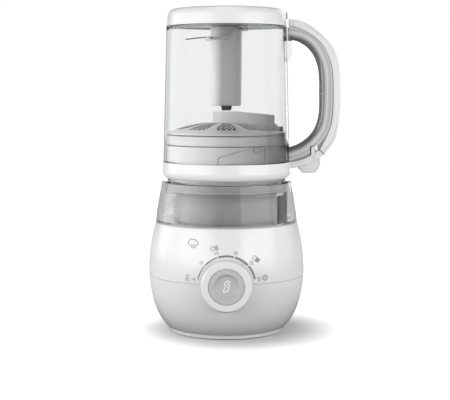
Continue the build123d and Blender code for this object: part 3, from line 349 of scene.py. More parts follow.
def make_materials():
    """Every finish by name: the record's material slots, then those of single nodes and details."""
    metal = {"Metallic": 1.0}
    return {
        "white_plastic": moulded("white_plastic", (0.75, 0.75, 0.745), 0.22, 0.006, 0.015),
        "grey_plastic": moulded("grey_plastic", (0.33, 0.33, 0.32), 0.3, 0.02, 0.03),
        "clear_plastic": clear_moulding("clear_plastic", (0.975, 0.98, 0.98), 0.15, 0.02, 1.17),
        "smoky_plastic": clear_moulding("smoky_plastic", (0.94, 0.94, 0.935), 0.3, 0.03, 1.3),
        "grip_plastic": moulded("grip_plastic", (0.6, 0.6, 0.59), 0.08, grain=0.0, Transmission_Weight=1.0, IOR=1.2),
        "button_grey": moulded("button_grey", (0.5, 0.5, 0.495), 0.22, 0.015, 0.02),
        "black_plastic": moulded("black_plastic", (0.035, 0.035, 0.037), 0.4, 0.1, 0.05),
        "dark_rubber": moulded("dark_rubber", (0.05, 0.05, 0.05), 0.7, 0.15, 0.2),
        "silicone": moulded("silicone", (0.75, 0.75, 0.73), 0.45, 0.03, 0.05),
        "steel": moulded("steel", (0.62, 0.62, 0.62), 0.16, 0.04, 0.02, **metal),
        "lamination_steel": moulded("lamination_steel", (0.2, 0.2, 0.21), 0.45, 0.1, 0.1, **metal),
        "aluminium": moulded("aluminium", (0.6, 0.6, 0.61), 0.4, 0.05, 0.15, **metal),
        "brass": moulded("brass", (0.72, 0.52, 0.22), 0.3, 0.05, 0.05, **metal),
        "copper": moulded("copper", (0.65, 0.3, 0.14), 0.3, 0.12, 0.15, **metal),
        "circuit_board": moulded("circuit_board", (0.03, 0.16, 0.07), 0.35, 0.2, 0.05),
        # blade_steel and band_steel are darker copies of the steel finish: painted shade, deepest on the blades.
        "blade_steel": moulded("blade_steel", (0.16, 0.16, 0.16), 0.25, 0.03, 0.01, **metal),
        "band_steel": moulded("band_steel", (0.36, 0.36, 0.36), 0.2, 0.03, 0.01, **metal),
        # smoke_grey, dome_grey, hub_grey and seat_grey have light painted into their grey: lighter on the left (-x),
        # where the key light falls, and painted shade towards the right; the hub's light left side is a painted
        # highlight.
        "smoke_grey": painted_shade_across("smoke_grey", 0.66, 0.015, -0.045, 0.06, 0.4),
        "dome_grey": painted_shade_across("dome_grey", 0.6, 0.06, -0.04, 0.06, 0.3),
        "smoke_dark": moulded("smoke_dark", (0.26, 0.26, 0.255), 0.15, grain=0.0, Transmission_Weight=0.25, IOR=1.3),
        "bead_grey": moulded("bead_grey", (0.5, 0.5, 0.5), 0.12, grain=0.0, Coat_Weight=0.5),
        "hub_grey": painted_shade_across("hub_grey", 0.62, 0.235, -0.015, -0.004, 0.32),
        "seat_grey": painted_shade_across("seat_grey", 0.66, 0.4, -0.042, -0.022, 0.4),
        "line_grey": moulded("line_grey", (0.1, 0.1, 0.1), 0.4, 0.05, 0.02),
        "hole_shade": moulded("hole_shade", (0.03, 0.03, 0.03), 0.5, 0.05, 0.02),
        "grip_smoke_and_painted_shade": depth_material("grip_smoke_and_painted_shade", GRIP_TINT_AND_PAINTED_LIGHT, 0.1, 0.15),
        "print_grey": moulded("print_grey", (0.17, 0.185, 0.185), 0.5, 0.05, 0.02),
        "print_white": moulded("print_white", (0.9, 0.9, 0.9), 0.4, 0.01, 0.02),
    }


# ---- shapes ---------------------------------------------------------------------------------
def arc_at(before, corner, after, radius, steps):
    """The points of a fillet of that radius at a corner of an outline."""
    corner = Vector(corner)
    back = (Vector(before) - corner).normalized()
    ahead = (Vector(after) - corner).normalized()
    half = back.angle(ahead) / 2
    run = radius / math.tan(half)
    room = 0.49 * min((Vector(before) - corner).length, (Vector(after) - corner).length)
    if run > room:
        radius *= room / run
        run = room
    centre = corner + (back + ahead).normalized() * radius / math.sin(half)
    start = corner + back * run - centre
    sweep = math.pi - 2 * half
    sign = 1 if back.x * ahead.y - back.y * ahead.x < 0 else -1
    points = []
    for step in range(steps + 1):
        turn = sign * sweep * step / steps
        points.append(tuple(centre + Matrix.Rotation(turn, 2) @ start))
    return points


def rounded(outline, steps=6):
    """A closed outline of (radius, height, fillet) corners, its corners turned into arcs."""
    points = []
    for i, (r, z, fillet) in enumerate(outline):
        before = outline[i - 1][:2]
        after = outline[(i + 1) % len(outline)][:2]
        if fillet > 0:
            points += arc_at(before, (r, z), after, fillet, steps)
        else:
            points.append((r, z))
    return points


def smooth_through(points, steps=10):
    """Points along a smooth curve through the given ones (Catmull-Rom)."""
    given = [Vector(p) for p in points]
    ends = [2 * given[0] - given[1], *given, 2 * given[-1] - given[-2]]
    out = []
    for a, b, c, d in zip(ends, ends[1:], ends[2:], ends[3:]):
        for step in range(steps):
            t = step / steps
            spot = 2 * b + (c - a) * t + (2 * a - 5 * b + 4 * c - d) * t * t + (3 * b - a - 3 * c + d) * t**3
            out.append(tuple(spot / 2))
    out.append(tuple(given[-1]))
    return out


def finish_mesh(name, bm, material, sharp=32):
    """Turns a bmesh in millimetres into an object in metres with smooth faces and crisp edges."""
    bmesh.ops.recalc_face_normals(bm, faces=bm.faces)
    bmesh.ops.scale(bm, vec=(MM, MM, MM), verts=bm.verts)
    for face in bm.faces:
        face.smooth = True
    for edge in bm.edges:
        if len(edge.link_faces) == 2:
            edge.smooth = edge.calc_face_angle(0) < math.radians(sharp)
    mesh = bpy.data.meshes.new(name)
    bm.to_mesh(mesh)
    bm.free()
    piece = bpy.data.objects.new(name, mesh)
    piece.data.materials.append(material)
    bpy.context.scene.collection.objects.link(piece)
    return piece


def join_rings(bm, rings):
    """Joins each ring of vertices to the next with faces, and closes both ends."""
    for ring, other in zip(rings, rings[1:]):
        for i in range(len(ring)):
            j = (i + 1) % len(ring)
            bm.faces.new((ring[i], ring[j], other[j], other[i]))
    bm.faces.new(rings[0])
    bm.faces.new(reversed(rings[-1]))


def lathe(name, outline, material, segments=ROUND):
    """A closed outline of (radius, height) turned about an upright axis."""
    bm = bmesh.new()
    rings = []
    for r, z in outline:
        if r < 1e-6:
            rings.append([bm.verts.new((0, 0, z))])
            continue
        turns = [2 * math.pi * i / segments for i in range(segments)]
        rings.append([bm.verts.new((r * math.cos(turn), r * math.sin(turn), z)) for turn in turns])
    for k, ring in enumerate(rings):
        other = rings[(k + 1) % len(rings)]
        for i in range(segments):
            j = (i + 1) % segments
            if len(ring) == 1 and len(other) == 1:
                break
            if len(ring) == 1:
                bm.faces.new((ring[0], other[j], other[i]))
            elif len(other) == 1:
                bm.faces.new((ring[i], ring[j], other[0]))
            else:
                bm.faces.new((ring[i], ring[j], other[j], other[i]))
    return finish_mesh(name, bm, material)


def facing(piece):
    """Turns a piece made about +Z so that its axis points at the user, at the knob's height."""
    turn = Matrix.Translation((0, 0, KNOB_Z * MM)) @ Matrix.Rotation(math.radians(90), 4, "X")
    piece.data.transform(turn)
    return piece


def stands_for(piece, node):
    """piece rides on a CAD node's body and is shown in the node's place, the node hidden."""
    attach(piece, body_of[node])
    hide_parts(node)


def belongs_to(piece, body):
    """piece is an extra detail that rides on a body."""
    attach(piece, body)


def strap(name, inner, outer, half_width, round_in, round_out, material, steps=8):
    """A bar between two curves in the XZ plane, its section rounded at the inner and outer side.

    inner and outer are lists of (x, z) with as many points; round_in and round_out are radii.
    """
    bm = bmesh.new()
    rings = []
    for (xi, zi), (xo, zo) in zip(inner, outer):
        start = Vector((xi, 0, zi))
        across = Vector((xo - xi, 0, zo - zi))
        thick = across.length
        across.normalize()
        a = min(round_in, half_width - 0.01, thick * 0.48)
        b = min(round_out, half_width - 0.01, thick * 0.48)
        ring = []
        corners = ((a, half_width - a, a, 180, 90), (thick - b, half_width - b, b, 90, 0))
        corners += ((thick - b, b - half_width, b, 0, -90), (a, a - half_width, a, -90, -180))
        for u, y, radius, first, last in corners:
            for step in range(steps + 1):
                turn = math.radians(first + (last - first) * step / steps)
                spot = start + across * (u + radius * math.cos(turn))
                ring.append(bm.verts.new((spot.x, y + radius * math.sin(turn), spot.z)))
        rings.append(ring)
    join_rings(bm, rings)
    return finish_mesh(name, bm, material, 40)


def apply_modifiers(piece):
    """Makes a piece's modifiers part of its mesh."""
    bpy.context.view_layer.update()
    graph = bpy.context.evaluated_depsgraph_get()
    mesh = bpy.data.meshes.new_from_object(piece.evaluated_get(graph))
    piece.modifiers.clear()
    piece.data = mesh


def prism(name, outline, y_low, y_high, material):
    """A plate whose outline is (x, z) points, between two depths."""
    bm = bmesh.new()
    front = [bm.verts.new((x, y_low, z)) for x, z in outline]
    back = [bm.verts.new((x, y_high, z)) for x, z in outline]
    bm.faces.new(front)
    bm.faces.new(reversed(back))
    for i in range(len(front)):
        j = (i + 1) % len(front)
        bm.faces.new((front[i], back[i], back[j], front[j]))
    return finish_mesh(name, bm, material)


# ---- printed marks --------------------------------------------------------------------------
def surface_tree(node):
    """A node's triangles, ready for rays."""
    mesh = frame["nodes"][node].data
    mesh.calc_loop_triangles()
    corners = [v.co.copy() for v in mesh.vertices]
    return BVHTree.FromPolygons(corners, [tuple(t.vertices) for t in mesh.loop_triangles])


def skin_of(*nodes):
    """A function that gives the y of those nodes' front skin at (x, z), in millimetres."""
    trees = [surface_tree(node) for node in nodes]

    def depth(x, z):
        start = Vector((x * MM, -1, z * MM))
        hits = [tree.ray_cast(start, Vector((0, 1, 0)))[0] for tree in trees]
        return min((hit.y / MM for hit in hits if hit is not None), default=0)

    return depth


body_depth = skin_of("lower_housing", "upper_housing")
INK = 0.06  # how far print stands off the skin, in millimetres


def ribbon(bm, line, width, closed=False, depth=body_depth, lift=INK):
    """Adds a printed line of that width along (x, z) points, laid on the skin."""
    count = len(line)
    left, right = [], []
    for i, (x, z) in enumerate(line):
        x0, z0 = line[i - 1] if i > 0 or closed else line[i]
        x1, z1 = line[(i + 1) % count] if i < count - 1 or closed else line[i]
        along = Vector((x1 - x0, z1 - z0))
        along.normalize()
        side = Vector((-along.y, along.x)) * width / 2
        for verts, sign in ((left, 1), (right, -1)):
            px, pz = x + sign * side.x, z + sign * side.y
            verts.append(bm.verts.new((px, depth(px, pz) - lift, pz)))
    last = count if closed else count - 1
    for i in range(last):
        j = (i + 1) % count
        bm.faces.new((left[i], right[i], right[j], left[j]))


def arc_points(cx, cz, radius, first, last, steps=24):
    """Points along an arc in the XZ plane, angles in degrees anticlockwise from +X."""
    spots = []
    for step in range(steps + 1):
        turn = math.radians(first + (last - first) * step / steps)
        spots.append((cx + radius * math.cos(turn), cz + radius * math.sin(turn)))
    return spots


def turned(points, cx, cz, angle, scale=1.0):
    """Points about the origin, turned by degrees and moved to (cx, cz)."""
    c, s = math.cos(math.radians(angle)), math.sin(math.radians(angle))
    return [(cx + scale * (x * c - z * s), cz + scale * (x * s + z * c)) for x, z in points]


# Single-stroke characters, 0.6 wide and 1 high, as polylines about their own middle.
STROKES = {
    "0": [arc_points(0, 0.2, 0.3, 0, 180, 8) + arc_points(0, -0.2, 0.3, 180, 360, 8) + [(0.3, 0.2)]],
    "1": [[(-0.14, 0.32), (0.05, 0.5), (0.05, -0.5)]],
    "2": [arc_points(0, 0.22, 0.28, 170, -40, 8) + [(-0.3, -0.5), (0.3, -0.5)]],
    "3": [arc_points(0, 0.24, 0.26, 150, -90, 8) + arc_points(0, -0.24, 0.27, 90, -150, 8)],
    "5": [[(0.26, 0.5), (-0.22, 0.5), (-0.26, 0.06)] + arc_points(0, -0.18, 0.31, 130, -145, 9)],
    "O": [arc_points(0, 0.14, 0.36, 0, 180, 8) + arc_points(0, -0.14, 0.36, 180, 360, 8) + [(0.36, 0.14)]],
    "F": [[(0.28, 0.5), (-0.25, 0.5), (-0.25, -0.5)], [(-0.25, 0.03), (0.2, 0.03)]],
}


def write(bm, text, cx, cz, size, angle, width):
    """Adds a line of stroke characters centred on (cx, cz) and turned by angle."""
    step = 0.86
    for place, letter in enumerate(text):
        shift = (place - (len(text) - 1) / 2) * step
        for stroke in STROKES[letter]:
            line = [((x + shift) * size, z * size) for x, z in stroke]
            ribbon(bm, turned(line, cx, cz, angle), width)


SCALE_R = 26.7
SCALE_TURN = {"0": 171.3, "10": 139.7, "15": 108.0, "20": 74.3, "25": 41.6, "30": 9.4}
SCALE_WIDTHS = (1.0, 1.15, 1.75, 1.95, 1.7)  # of the line between two numbers


def make_scale(mat):
    """The timer's printed scale: a thin line to 15 minutes, a thick one beyond, and the numbers."""
    bm = bmesh.new()
    marks = list(SCALE_TURN.values())
    for width, first, last in zip(SCALE_WIDTHS, marks, marks[1:]):
        ribbon(bm, arc_points(0, KNOB_Z, SCALE_R, first - 1.2, last + 1.2, 40), width)
    for text, turn in SCALE_TURN.items():
        spot = arc_points(0, KNOB_Z, SCALE_R + 4.0, turn, turn, 1)[0]
        write(bm, text, *spot, 2.4, turn - 90, 0.46)
    write(bm, "OFF", *arc_points(0, KNOB_Z, SCALE_R + 10.0, 171.0, 171.0, 1)[0], 2.7, 81.0, 0.45)
    belongs_to(finish_mesh("dial_scale", bm, mat["print_grey"]), "base")


def cloud_outline():
    """A small cloud about the origin, about 11 mm wide."""
    line = arc_points(-3.6, -0.9, 1.9, 250, 100, 8) + arc_points(-1.7, 1.4, 1.9, 165, 60, 8)
    line += arc_points(1.2, 1.1, 2.0, 125, 10, 8) + arc_points(3.7, -0.8, 1.9, 80, -75, 8)
    return line


STEAM_SIGN = (-31.0, 94.6)
FOOD_SIGNS = ((-10.9, 89.8, 16, 0.5), (27.4, 79.4, -42, 0.78))  # x, z, tilt in degrees and stroke of its bars
CLEANING_SIGN = (35.8, 61.6)


def make_signs(mat):
    """Steam, food and cleaning signs round the scale."""
    bm = bmesh.new()
    cx, cz = STEAM_SIGN
    line = turned(cloud_outline(), cx, cz, 0, 0.86)
    ribbon(bm, line, 0.72)
    ribbon(bm, [line[-1], (cx + 2.2, line[-1][1] - 0.2)], 0.72)
    ribbon(bm, [(cx - 2.4, line[0][1] - 0.1), line[0]], 0.72)
    for shift in (-1.5, 0.1, 1.7):
        ribbon(bm, [(cx + shift + 0.35 * math.sin(k * 1.3), cz - 2.2 - k * 0.42) for k in range(9)], 0.6)
    for cx, cz, tilt, bar in FOOD_SIGNS:
        ribbon(bm, turned(arc_points(-1.9, 0, 1.9, 35, 325, 20), cx, cz, tilt), 0.5)
        ribbon(bm, turned([(-2.4, 0.5), (-1.5, 0.7), (-1.0, 0.1)], cx, cz, tilt), 0.4)
        for k in range(4):
            ribbon(bm, turned([(0.2 + k * 0.95, -1.7), (0.2 + k * 0.95, 1.7)], cx, cz, tilt), bar)
        for edge in (1.8, -1.8):
            ribbon(bm, turned([(0.0, edge), (3.3, edge)], cx, cz, tilt), 0.4)
    cx, cz = CLEANING_SIGN
    petals = []
    for k in range(64):
        turn = 2 * math.pi * k / 64
        r = 2.15 + 0.55 * math.cos(8 * turn)
        petals.append((cx + r * math.cos(turn), cz + r * math.sin(turn)))
    ribbon(bm, petals, 0.55, closed=True)
    ribbon(bm, [(cx, cz + 1.1), (cx, cz - 0.5)], 0.8)
    belongs_to(finish_mesh("function_signs", bm, mat["print_grey"]), "base")


# ---- knob -----------------------------------------------------------------------------------
BUTTON_R = 16.5
BUTTON_DEPTH = 4.4
DISH_DEPTH = 3.4
DIAL_R = 23.9
DIAL_BACK = -77.4  # y of the ring's inner edge


def make_knob(mat):
    """The white dial ring, the grey dished button with its blade sign, and the dial's dot."""
    bore = BUTTON_R + 0.3
    ring = [
        (DIAL_R, -DIAL_BACK, 0),
        (DIAL_R - 0.25, -DIAL_FRONT - 1.5, 1.2),
        (DIAL_R - 1.3, -DIAL_FRONT, 1.0),
        (bore, -DIAL_FRONT, 0.35),
        (bore, -DIAL_BACK, 0),
    ]
    stands_for(facing(lathe("dial_ring", rounded(ring), mat["white_plastic"])), "timer_dial")
    front = -BUTTON_FRONT
    button = [
        (0, front - DISH_DEPTH, 0),
        (9.7, front - DISH_DEPTH, 2.2),
        (11.7, front - 0.2, 0.7),
        (12.5, front - 0.05, 0.5),
        (BUTTON_R, front - 0.05, 0.45),
        (BUTTON_R, front - BUTTON_DEPTH, 0),
        (0, front - BUTTON_DEPTH, 0),
    ]
    stands_for(facing(lathe("blend_button_face", rounded(button), mat["button_grey"])), "blend_button")
    # A black ring down in the gap between button and dial ring: painted shade in the gap.
    well = -DIAL_BACK + 1.6
    gap = [(bore, well - 0.6, 0), (bore, well, 0), (BUTTON_R + 0.05, well, 0), (BUTTON_R + 0.05, well - 0.6, 0)]
    belongs_to(facing(lathe("button_gap", rounded(gap), mat["black_plastic"])), "timer_dial")
    make_blade_sign(mat)
    dot = [(0, 0.1, 0), (0.6, 0.1, 0.06), (0.6, -0.4, 0), (0, -0.4, 0)]
    dot = lathe("dial_dot", rounded(dot), mat["print_grey"], segments=32)
    spot = Matrix.Translation((-22.3 * MM, (DIAL_FRONT + 2.1) * MM, (KNOB_Z + 1.7) * MM))
    dot.data.transform(spot @ Matrix.Rotation(math.radians(-52), 4, "Z") @ Matrix.Rotation(math.radians(90), 4, "X"))
    belongs_to(dot, "timer_dial")


def make_blade_sign(mat):
    """The white outline of a blade, printed on the flat floor of the button's dish."""

    def dish(x, z):
        """Depth of the dish's floor, the same everywhere the sign is."""
        return BUTTON_FRONT + DISH_DEPTH

    outline = [(-1.4, 4.0), (0.5, 5.3), (2.8, 5.5), (2.3, 3.3), (1.9, 1.9), (2.6, 0.8), (2.4, -1.8), (1.2, -3.9)]
    outline += [(-0.5, -5.0), (-2.8, -5.5), (-2.6, -3.1), (-1.9, -1.0), (-2.3, 0.9), (-1.4, 4.0)]
    waist = [(-2.2, 1.0), (-0.6, 1.5), (0.2, 0.1), (0.9, -1.1), (2.5, -0.8)]
    veins = ([(0.3, 3.8), (1.0, 2.5)], [(-0.9, -3.6), (-0.3, -2.4)])
    bm = bmesh.new()
    for line, scale, width in (
        (smooth_through(outline, 4), 0.93, 0.8),
        (smooth_through(waist, 5), 1.0, 0.7),
        (veins[0], 1.0, 0.45),
        (veins[1], 1.0, 0.45),
    ):
        ribbon(bm, turned(line, 0, KNOB_Z, 0, scale), width, depth=dish, lift=0.05)
    belongs_to(finish_mesh("blade_sign", bm, mat["print_white"]), "blend_button")


# ---- handle ---------------------------------------------------------------------------------
# Curves of the handle's profile as (x, z): finger side, parting of grip and shell, and outer side.
INNER_LINE = [(60.0, 282.9), (73.1, 279.2), (82.2, 270.6), (88.4, 254.6), (89.5, 232.0)]
INNER_LINE += [(88.6, 209.0), (84.1, 196.6), (73.0, 185.4), (60.0, 180.0)]
SPLIT_LINE = [(60.0, 296.3), (73.1, 292.7), (86.1, 284.4), (94.8, 274.1), (101.5, 256.0), (102.9, 232.0)]
SPLIT_LINE += [(102.2, 209.0), (98.8, 195.5), (90.2, 177.6)]
OUTER_LINE = [(60.0, 303.2), (73.0, 300.6), (86.0, 293.4), (99.1, 280.9), (107.5, 264.6), (110.4, 232.0)]
OUTER_LINE += [(109.2, 204.0), (104.8, 186.6), (95.1, 173.2)]
GRIP_HALF = 12.0
GRIP_DEPTH = 13.4  # from the finger side to the parting
GRIP_CUTS = (0.012, 0.006, 0.003, 0.0016)  # longest edge after each round of cutting it finer, in metres


def distance_to_line(x, z, line):
    """Distance from a point to a polyline in the XZ plane."""
    best = 1e9
    spot = Vector((x, z))
    for a, b in zip(line, line[1:]):
        start, end = Vector(a), Vector(b)
        run = end - start
        share = max(0, min(1, (spot - start).dot(run) / run.length_squared))
        best = min(best, (spot - start - run * share).length)
    return best


def make_grip(mat):
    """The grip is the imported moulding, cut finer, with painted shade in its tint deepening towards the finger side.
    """
    mesh = frame["nodes"]["handle_grip"].data.copy()
    piece = bpy.data.objects.new("grip_clear", mesh)
    bpy.context.scene.collection.objects.link(piece)
    bm = bmesh.new()
    bm.from_mesh(mesh)
    bmesh.ops.remove_doubles(bm, verts=bm.verts, dist=1e-6)
    for longest in GRIP_CUTS:
        bmesh.ops.triangulate(bm, faces=bm.faces)
        long_edges = [e for e in bm.edges if e.calc_length() > longest]
        bmesh.ops.subdivide_edges(bm, edges=long_edges, cuts=1, use_grid_fill=False)
    bmesh.ops.triangulate(bm, faces=bm.faces)
    for face in bm.faces:
        face.smooth = True
    for edge in bm.edges:
        if len(edge.link_faces) == 2:
            edge.smooth = edge.calc_face_angle(0) < math.radians(25)
    bm.to_mesh(mesh)
    bm.free()
    line = smooth_through(INNER_LINE, 8)
    layer = mesh.attributes.new("depth", "FLOAT", "POINT")
    for i, vert in enumerate(mesh.vertices):
        away = distance_to_line(vert.co.x / MM, vert.co.z / MM, line)
        layer.data[i].value = min(1, away / GRIP_DEPTH)
    mesh.materials.clear()
    mesh.materials.append(mat["grip_smoke_and_painted_shade"])
    stands_for(piece, "handle_grip")


def trim(name, lines, width, body, material, half=GRIP_HALF):
    """Fine inlaid lines on both faces of the handle, along (x, z) points."""
    bm = bmesh.new()
    for line in lines:
        ribbon(bm, line, width, depth=lambda x, z: -half)
        ribbon(bm, line, width, depth=lambda x, z: half, lift=-INK)
    belongs_to(finish_mesh(name, bm, material), body)


def make_spine(mat):
    """The white outer shell of the handle, rounded outside, with its parting lines."""
    outer = smooth_through(OUTER_LINE, 8)
    inner = smooth_through(SPLIT_LINE, 8)
    spine = strap("handle_shell", inner, outer, GRIP_HALF - 0.05, 0.7, 4.6, mat["white_plastic"], 8)
    stands_for(spine, "handle_spine")
    # The groove is drawn as a grey line: painted shade in the groove.
    groove = [(i[0] * 0.3 + o[0] * 0.7, i[1] * 0.3 + o[1] * 0.7) for i, o in zip(inner, outer)]
    trim("handle_groove", [groove[10:]], 0.3, "jug", mat["button_grey"])
    trim("handle_parting", [inner], 0.42, "jug", mat["line_grey"])
    trim("handle_split", [[SPLIT_LINE[-1], OUTER_LINE[-1]]], 0.6, "jug", mat["line_grey"])
    # The lug gaps are grey lines: painted shade in the gaps beside the lug.
    lugs = [[(60.6, 296.4), (60.6, 302.6)], [(63.9, 295.8), (63.9, 301.4)]]
    trim("handle_lug_gaps", lugs, 0.5, "jug", mat["button_grey"])
    steps = [[(89.8, 232.0), (102.4, 232.0)], [(89.0, 206.0), (101.6, 206.0)]]
    trim("grip_core_lines", steps, 0.3, "jug", mat["grey_plastic"])


HOOK_Y = 12.2
HOOK_HALF = 0.25


def make_slot_hook(mat):
    """The lever's white hook showing in the grip's slot, with a dark line of painted shade round the slot's edge."""
    outline = rounded([(82.2, 172.4, 0), (82.2, 180.7, 1.6), (85.6, 180.7, 1.6), (85.6, 172.4, 0)])
    for name, y in (("lever_hook_front", -HOOK_Y), ("lever_hook_back", HOOK_Y)):
        hook = prism(name, outline, y - HOOK_HALF, y + HOOK_HALF, mat["white_plastic"])
        belongs_to(hook, "release_lever")
    crown = [(81.9, 178.5), (82.4, 180.9), (83.9, 181.5), (85.4, 180.9), (85.9, 178.5)]
    edge = [(81.9, 173.0)] + smooth_through(crown, 4) + [(85.9, 174.6)]
    trim("grip_slot_edge", [edge], 0.5, "jug", mat["line_grey"])


LEVER_OUTLINE = [(69.6, 161.4, 0.6), (69.9, 159.4, 1.4), (73.8, 154.8, 2.8), (87.2, 154.9, 4.8), (91.4, 163.0, 3.0)]
LEVER_OUTLINE += [(91.2, 169.2, 0.8), (88.0, 170.8, 0.8), (82.0, 167.6, 0.8), (76.9, 164.2, 0.8)]
LEVER_HALF = 7.3
LEVER_MIDDLE = (81.5, 161.5)


def make_lever(mat):
    """The release lever: a soft-edged tab with a fine border on its faces."""
    lever = prism("lever_tab", rounded(LEVER_OUTLINE), -LEVER_HALF, LEVER_HALF, mat["white_plastic"])
    soft = lever.modifiers.new("soft", "BEVEL")
    soft.width = 1.5 * MM
    soft.segments = 5
    soft.limit_method = "ANGLE"
    soft.angle_limit = math.radians(60)
    apply_modifiers(lever)
    stands_for(lever, "release_lever")
    cx, cz = LEVER_MIDDLE
    inset = [(x + (cx - x) * 0.12, z + (cz - z) * 0.14) for x, z in rounded(LEVER_OUTLINE)]
    border = [inset + inset[:1]]
    trim("lever_border", border, 0.45, "release_lever", mat["button_grey"], half=LEVER_HALF)


CAP_R = 57.9
FIN_HALF = 1.6


def make_cap_fin(mat):
    """The small upright rib at the cap's handle side."""
    x = CAP_R - 0.2
    outline = rounded([(x, 303.6, 0), (x, 310.4, 0.6), (x + 1.1, 309.2, 0.5), (x + 1.3, 303.6, 0)])
    belongs_to(prism("cap_fin", outline, -FIN_HALF, FIN_HALF, mat["grey_plastic"]), "jug")


# ---- blades ---------------------------------------------------------------------------------
def blade_outline(length):
    """The back and the cutting edge of a curved blade from above: root at x = -5, point at x = length."""
    back = smooth_through([(-5.0, 6.0), (length * 0.45, 6.4), (length, -1.0)], 12)
    belly = smooth_through([(length, -1.0), (length * 0.5, -3.0), (-5.0, -6.0)], 12)
    return back, belly


def make_blade(name, node, origin, tilt, length, flip, mat):
    """A ground steel blade: flat along its back, bevelled on both faces to an edge along its belly."""
    back, belly = blade_outline(length)
    bm = bmesh.new()
    half, edge = 0.5, 0.06
    bevel_start = 0.62
    rings = []
    for (bx, by), (ex, ey) in zip(back, reversed(belly)):
        rx, ry = bx + (ex - bx) * bevel_start, by + (ey - by) * bevel_start
        row = ((bx, by, half), (rx, ry, half), (ex, ey, edge), (ex, ey, -edge), (rx, ry, -half), (bx, by, -half))
        rings.append([bm.verts.new(p) for p in row])
    join_rings(bm, rings)
    bmesh.ops.remove_doubles(bm, verts=bm.verts, dist=1e-4)
    turn = Matrix.Rotation(math.radians(180) if flip else 0, 4, "Z")
    lean = Matrix.Rotation(tilt, 4, "Y")
    bmesh.ops.transform(bm, matrix=Matrix.Translation(origin) @ lean @ turn, verts=bm.verts)
    blade = finish_mesh(name, bm, mat["blade_steel"], 20)
    stands_for(blade, node)


def make_blade_band(mat):
    """The polished steel strap that winds round the hub from the lower blade's root to the upper one's."""
    inner, outer, soft = 16.35, 16.75, 0.1
    low_left, high_left = 283.4, 286.2
    low_right, high_right = 292.8, 295.8
    climb_start, climb_run = 1.0, 11.5
    bm = bmesh.new()
    rings = []
    for i in range(ROUND):
        turn = 2 * math.pi * i / ROUND
        x = outer * math.cos(turn)
        share = max(0, min(1, (x - climb_start) / climb_run))
        share = share * share * (3 - 2 * share)
        low_z = low_left + (low_right - low_left) * share
        high_z = high_left + (high_right - high_left) * share
        c, s = math.cos(turn), math.sin(turn)
        section = ((inner, low_z), (outer - soft, low_z), (outer, low_z + soft))
        section += ((outer, high_z - soft), (outer - soft, high_z), (inner, high_z))
        rings.append([bm.verts.new((r * c, r * s, z)) for r, z in section])
    for i in range(ROUND):
        ring, other = rings[i], rings[(i + 1) % ROUND]
        for k in range(len(ring)):
            j = (k + 1) % len(ring)
            bm.faces.new((ring[k], other[k], other[j], ring[j]))
    belongs_to(finish_mesh("blade_band", bm, mat["band_steel"], 30), "blade_unit")


# ---- strainer and collar --------------------------------------------------------------------
# One fan of holes: each row's radius, its holes' places in degrees, and their radius.
HOLE_ROWS = (
    (22.0, (-6, 6), 1.25),
    (27.0, (-8, 0, 8), 1.35),
    (32.0, (-9, -3, 3, 9), 1.35),
    (37.0, (-10, -3.4, 3.4, 10), 1.45),
    (42.0, (-10.5, -5, 0, 5, 10.5), 1.35),
    (47.0, (-9, -3, 3, 9), 1.3),
)
FANS = 10
WELL_R = 0.42  # how much wider than its hole a well's mouth is
DUCT_HALF = 15.5  # the steam duct's foot covers the holes up to here, on the handle side


def make_strainer_holes(mat):
    """Painted shade at each of the strainer's holes: a dark countersunk mouth and well, with a raised white lip
    behind it that paints the highlight there.
    """
    tree = surface_tree("strainer")

    def dome_z(r):
        """Height of the dome at a radius, read between two fans of holes."""
        between = math.radians(108)
        start = Vector((r * MM * math.cos(between), r * MM * math.sin(between), 1))
        return tree.ray_cast(start, Vector((0, 0, -1)))[0].z / MM

    radii = [18 + k for k in range(36)]
    heights = [dome_z(r) for r in radii]

    def skin(x, y):
        """Height of the dome at a place, between the radii that were read."""
        share = math.hypot(x, y) - radii[0]
        k = max(0, min(len(radii) - 2, int(share)))
        return heights[k] + (heights[k + 1] - heights[k]) * (share - k)

    def loops(bm, cx, cy, turn, spread, steps):
        """Rings about (cx, cy), or arcs on the side towards the axis, joined by faces; steps are (radius, rise)."""
        count = 16
        rings = []
        for radius, rise in steps:
            ring = []
            for k in range(count + (spread < 180)):
                away = math.radians(180 - spread + 2 * spread * k / count)
                x, y = cx + radius * math.cos(turn + away), cy + radius * math.sin(turn + away)
                bulge = 1 if spread == 180 else math.cos((away - math.pi) * 90 / spread)
                ring.append(bm.verts.new((x, y, skin(x, y) + rise * bulge)))
            rings.append(ring)
        for ring, other in zip(rings, rings[1:]):
            for k in range(count):
                j = (k + 1) % len(ring)
                bm.faces.new((ring[k], ring[j], other[j], other[k]))
        return rings

    wells, lips = bmesh.new(), bmesh.new()
    for fan in range(FANS):
        for row_r, offsets, hole_r in HOLE_ROWS:
            for offset in offsets:
                turn = math.radians((fan + 0.5) * 360 / FANS + offset)
                cx, cy = row_r * math.cos(turn), row_r * math.sin(turn)
                if cx >= 0 and abs(cy) <= DUCT_HALF:
                    continue
                mouth = hole_r + WELL_R
                rings = loops(wells, cx, cy, turn, 180, ((mouth, 0.1), (hole_r - 0.1, 0.04), (hole_r - 0.1, -1.3)))
                wells.faces.new(rings[-1])
                loops(wells, cx, cy, turn, 80, ((mouth - 0.1, 0.0), (mouth, 0.6)))
                # The lip is white, lighter than the grey dome: a painted highlight on its raised edge.
                loops(lips, cx, cy, turn, 80, ((mouth, 0.6), (mouth + 0.12, 0.8), (mouth + 0.45, 0.0)))
    belongs_to(finish_mesh("strainer_wells", wells, mat["hole_shade"]), "strainer")
    belongs_to(finish_mesh("strainer_lips", lips, mat["white_plastic"], 60), "strainer")


